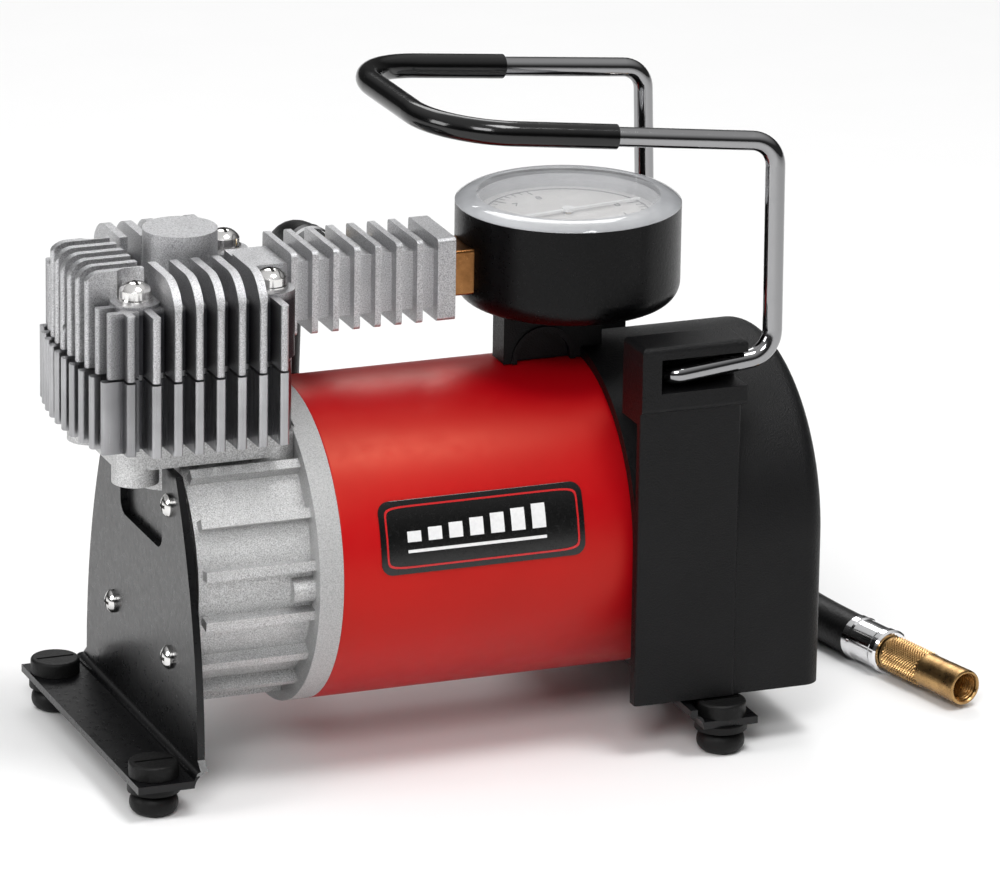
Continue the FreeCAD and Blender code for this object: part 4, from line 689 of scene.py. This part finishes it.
class COMPRESSOR_OT_label(bpy.types.Operator):
    """Makes the black label with its red border and a plain sign of rising bars"""

    bl_idname = "compressor.label"
    bl_label = "Label print"

    def execute(self, context):
        low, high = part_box("label_plate")
        tube_low, tube_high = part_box("motor_tube")
        middle_x, radius = (low.x + high.x) / 2, (tube_high.z - tube_low.z) / 2
        half_x, half_y = (high.x - low.x) / 2, LABEL_HALF_TURN * radius

        def printed(shape, columns, rows, proud, name):
            """A curved patch: shape turns (u, v), each from -1 to 1, into places along and round the motor."""
            clear_choice()
            bpy.ops.mesh.primitive_grid_add(x_subdivisions=columns, y_subdivisions=rows, size=2)
            patch = context.object
            for vertex in patch.data.vertices:
                along, around = shape(vertex.co.x, vertex.co.y)
                angle, reach = LABEL_MIDDLE - around / radius, radius + proud
                vertex.co = (middle_x + along, reach * math.cos(angle), axis_height() + reach * math.sin(angle))
            applied(patch, "SOLIDIFY", thickness=0.00008, offset=0)
            patch.name = name
            return patch

        def panel(half_u, half_v, corner):
            """A rectangle with round corners; its rows crowd towards its long edges."""

            def shape(u, v):
                across = half_v * math.sin(v * math.pi / 2)
                beyond = max(0.0, abs(across) - (half_v - corner))
                return u * (half_u - corner + math.sqrt(max(0.0, corner**2 - beyond**2))), across

            return shape

        def ring(half_u, half_v, thin):
            """A closed line round a rounded rectangle."""

            def shape(u, v):
                turn, inset = (u + 1) * math.pi, thin * (v + 1) / 2
                swing = math.cos(turn), math.sin(turn)
                bow = [math.copysign(abs(part) ** SQUARENESS, part) for part in swing]
                return bow[0] * (half_u - inset), bow[1] * (half_v - inset)

            return shape

        def bar(u0, u1, v0, v1):
            return lambda u, v: (u0 + (u1 - u0) * (u + 1) / 2, v0 + (v1 - v0) * (v + 1) / 2)

        def sign(name, patches, material):
            piece = joined(patches, name)
            bpy.ops.object.mode_set(mode="EDIT")
            bpy.ops.mesh.select_all(action="SELECT")
            bpy.ops.mesh.normals_make_consistent(inside=False)
            bpy.ops.object.mode_set(mode="OBJECT")
            return dress(piece, material, "base")

        plain = printed(panel(half_x, half_y, 0.003), 24, 40, 0.0002, "label_panel")
        applied(plain, "SOLIDIFY", thickness=0.0003, offset=0)
        sign("label_panel", [plain], label_film("label black", (0.003, 0.003, 0.003), 0.24))
        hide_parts("label_plate")
        outline = ring(half_x - BORDER_IN, half_y - BORDER_IN, BORDER_WIDTH)
        border = printed(outline, 160, 1, PRINT_PROUD, "label_border")
        sign("label_border", [border], label_film("label red", (0.5, 0.01, 0.012), 0.3))
        # a plain scale of rising bars over a line
        starts = [BAR_START + BAR_PITCH * k for k in range(BAR_COUNT)]
        bars = [
            printed(bar(start, start + BAR_WIDTH, -0.0014, 0.0014 + BAR_GROWTH * k), 2, 4, PRINT_PROUD, "bar")
            for k, start in enumerate(starts)
        ]
        bars.append(printed(bar(BAR_START, starts[-1] + BAR_WIDTH, -0.0042, -0.0034), 8, 1, PRINT_PROUD, "bar"))
        sign("label_bars", bars, label_film("label white", (0.78, 0.78, 0.78), 0.35))
        return {"FINISHED"}


# ---- gauge ---------------------------------------------------------------------------------------------


SCALE_START, SCALE_SWEEP = math.radians(9.6), math.radians(270)
TICK_REACH, NUMBER_REACH, RING_REACH = 0.0216, 0.0152, 0.0221


class COMPRESSOR_OT_dial(bpy.types.Operator):
    """Marks the gauge's scale: long and short ticks, an arc and numbers"""

    bl_idname = "compressor.dial"
    bl_label = "Gauge marks"

    def execute(self, context):
        low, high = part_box("gauge_dial")
        centre, top = (low + high) / 2, high.z + 0.00006
        ink = label_film("dial ink", (0.02, 0.02, 0.022), 0.45)
        first, last, count = SCALE_START, SCALE_START - SCALE_SWEEP, 40
        marks = []
        for k in range(count + 1):
            angle = first + (last - first) * k / count
            long_tick = k % 5 == 0
            length, wide = (0.0034, 0.00038) if long_tick else (0.0019, 0.0002)
            middle = TICK_REACH - length / 2
            place = (centre.x + middle * math.cos(angle), centre.y + middle * math.sin(angle), top)
            marks.append(bar_piece(place, (length, wide, 0.0001), (0, 0, angle)))
        piece = joined(marks, "dial_ticks")
        dress(piece, ink, "base")
        clear_choice()
        bpy.ops.mesh.primitive_circle_add(vertices=96, radius=RING_REACH, fill_type="NOTHING", location=(0, 0, 0))
        arc = context.object
        bpy.ops.object.mode_set(mode="EDIT")
        bpy.ops.mesh.select_all(action="SELECT")
        bpy.ops.mesh.extrude_edges_move(TRANSFORM_OT_translate={"value": (0, 0, 0)})
        bpy.ops.transform.resize(value=(0.978, 0.978, 1), center_override=(0, 0, 0))
        bpy.ops.object.mode_set(mode="OBJECT")
        applied(arc, "SOLIDIFY", thickness=0.0001, offset=0)
        arc.location = (centre.x, centre.y, top)
        settled(arc, "dial_ring")
        dress(arc, ink, "base")
        numbers = []
        for k in range(9):
            angle = first + (last - first) * k / 8
            across, along = NUMBER_REACH * math.cos(angle), NUMBER_REACH * math.sin(angle)
            clear_choice()
            bpy.ops.object.text_add(location=(centre.x + across, centre.y + along - 0.0012, top))
            text = context.object
            text.data.body, text.data.size, text.data.align_x = str(k), 0.0036, "CENTER"
            text.data.extrude, text.data.resolution_u = 0.00005, 3
            only(text)
            bpy.ops.object.convert(target="MESH")
            numbers.append(context.object)
        piece = joined(numbers, "dial_numbers")
        dress(piece, ink, "base")
        return {"FINISHED"}


# ---- finishes of the carried-over nodes --------------------------------------------------------------------


class COMPRESSOR_OT_finishes(bpy.types.Operator):
    """Gives each part of the frame its own finish"""

    bl_idname = "compressor.finishes"
    bl_label = "Finishes"

    def execute(self, context):
        f = context.scene.compressor_finishes
        sheet = dark_finish("black sheet paint", (0.003, 0.003, 0.0034), 500.0, 0.0001, 0.3, 0.05, 0.08, 0.3)
        feet = dark_finish("foot rubber", (0.004, 0.004, 0.004), 700.0, 0.0003, 0.5)
        cover = dark_finish("cover plastic", (0.0025, 0.0025, 0.0028), 2200.0, 0.0004, 0.4, 0.09)
        cup = dark_finish("gauge plastic", (0.001, 0.001, 0.0012), 1100.0, 0.0001, 0.3, 0.05, 0.0, 0.16)
        switch = dark_finish("switch plastic", (0.008, 0.008, 0.008), 1500.0, 0.0001, 0.22, 0.04, 0.3)
        sleeve = dark_finish("sleeve vinyl", (0.001, 0.001, 0.0011), 160.0, 0.0001, 0.14, 0.03, 0.1, 0.4)
        gasket = dark_finish("gasket rubber", (0.01, 0.01, 0.01), 800.0, 0.0002, 0.6)
        carbon = dark_finish("carbon", (0.02, 0.02, 0.02), 1500.0, 0.0003, 0.6)
        ferrite = dark_finish("ferrite", (0.05, 0.05, 0.052), 1200.0, 0.0004, 0.6)
        head = cast_metal("head casting", (0.7, 0.7, 0.71), (0.26, 0.26, 0.27), 3000.0, 0.34, 0.45, True)
        inner = cast_metal("inner casting", (0.6, 0.6, 0.6), (0.35, 0.35, 0.35), 900.0)
        steel = extruded_metal("machined steel", (0.45, 0.45, 0.46))
        fins = extruded_metal("satin fins", tuple(f.fins), True)
        zinc = plated("bright zinc", (0.72, 0.71, 0.7), 0.14)
        chrome = plated("chrome", (0.86, 0.86, 0.87), 0.06)
        # the handle's chrome, darkened to paint the dark reflections it shows: a shaded copy of the chrome
        wire = plated("chrome darkened as painted reflection", (0.3, 0.3, 0.305), 0.07)
        brass = brass_finish("gauge brass", (0.3, 0.14, 0.05), (0.13, 0.05, 0.015), 0.25, 0.7)
        movement = brass_finish("movement brass", (0.7, 0.5, 0.2), (0.45, 0.3, 0.12), 0.22)
        painted = {
            sheet: ["front_stand", "rear_stand", "crankcase_cover"],
            feet: ["rubber_feet", "cable_gland"],
            zinc: ["stand_screws", "head_washers", "head_screws", "long_screws", "cover_screws"],
            crankcase_metal(f): ["crankcase"],
            fins: ["cylinder_jacket"],
            head: ["cylinder_head", "outlet_manifold"],
            inner: ["piston", "connecting_rod"],
            steel: [
                "cylinder_liner", "valve_plate", "valve_reeds", "end_bell",
                "brush_springs", "armature_core", "crank_web",
            ],
            gasket: ["head_gasket", "piston_ring", "valve_washer"],
            brass: ["brass_fitting"],
            movement: [
                "hose_fitting", "bourdon_tube", "gauge_socket", "gauge_frame",
                "needle_staff", "sector_gear", "valve_stem",
            ],
            cover: ["rear_cover", "brush_plate"],
            cup: ["gauge_case"],
            printed_dial(): ["gauge_dial"],
            label_film("needle paint", (0.85, 0.85, 0.85), 0.35): ["gauge_needle"],
            clear_plastic(): ["gauge_lens"],
            ferrite: ["motor_magnets"],
            wound_copper(): ["armature_windings", "commutator"],
            plated("ground steel", (0.62, 0.62, 0.63), 0.16): [
                "front_bearing", "rear_bearing", "motor_shaft", "wrist_pin", "big_end_bearing", "crank_pin",
            ],
            carbon: ["carbon_brushes"],
            switch: ["switch_housing", "switch_rocker"],
            chrome: ["inlet_ferrule", "outlet_ferrule"],
            # the handle bar gets the darkened chrome, a painted dark reflection
            wire: ["handle_bar"],
            sleeve: ["handle_grip"],
        }
        for material, names in painted.items():
            for name in names:
                NODES[name].data.materials.clear()
                NODES[name].data.materials.append(material)
        return {"FINISHED"}


# ---- panel and registration --------------------------------------------------------------------------------

STEPS = ("finishes", "nut", "hose", "tube", "label", "dial", "stage")


class COMPRESSOR_PT_panel(bpy.types.Panel):
    bl_idname = "COMPRESSOR_PT_panel"
    bl_label = "Air compressor"
    bl_space_type = "VIEW_3D"
    bl_region_type = "UI"
    bl_category = "Compressor"

    def draw(self, context):
        for group in (context.scene.compressor_finishes, context.scene.compressor_sizes):
            for name in group.__annotations__:
                self.layout.prop(group, name)
        for step in STEPS:
            self.layout.operator("compressor." + step)


CLASSES = (
    CompressorFinishes,
    CompressorSizes,
    COMPRESSOR_OT_finishes,
    COMPRESSOR_OT_nut,
    COMPRESSOR_OT_hose,
    COMPRESSOR_OT_tube,
    COMPRESSOR_OT_label,
    COMPRESSOR_OT_dial,
    COMPRESSOR_OT_stage,
    COMPRESSOR_PT_panel,
)


def register():
    for entry in CLASSES:
        bpy.utils.register_class(entry)
    bpy.types.Scene.compressor_finishes = bpy.props.PointerProperty(type=CompressorFinishes)
    bpy.types.Scene.compressor_sizes = bpy.props.PointerProperty(type=CompressorSizes)


def unregister():
    del bpy.types.Scene.compressor_sizes
    del bpy.types.Scene.compressor_finishes
    for entry in reversed(CLASSES):
        bpy.utils.unregister_class(entry)


def main():
    register()
    for step in STEPS:
        getattr(bpy.ops.compressor, step)()


if __name__ == "__main__":
    main()
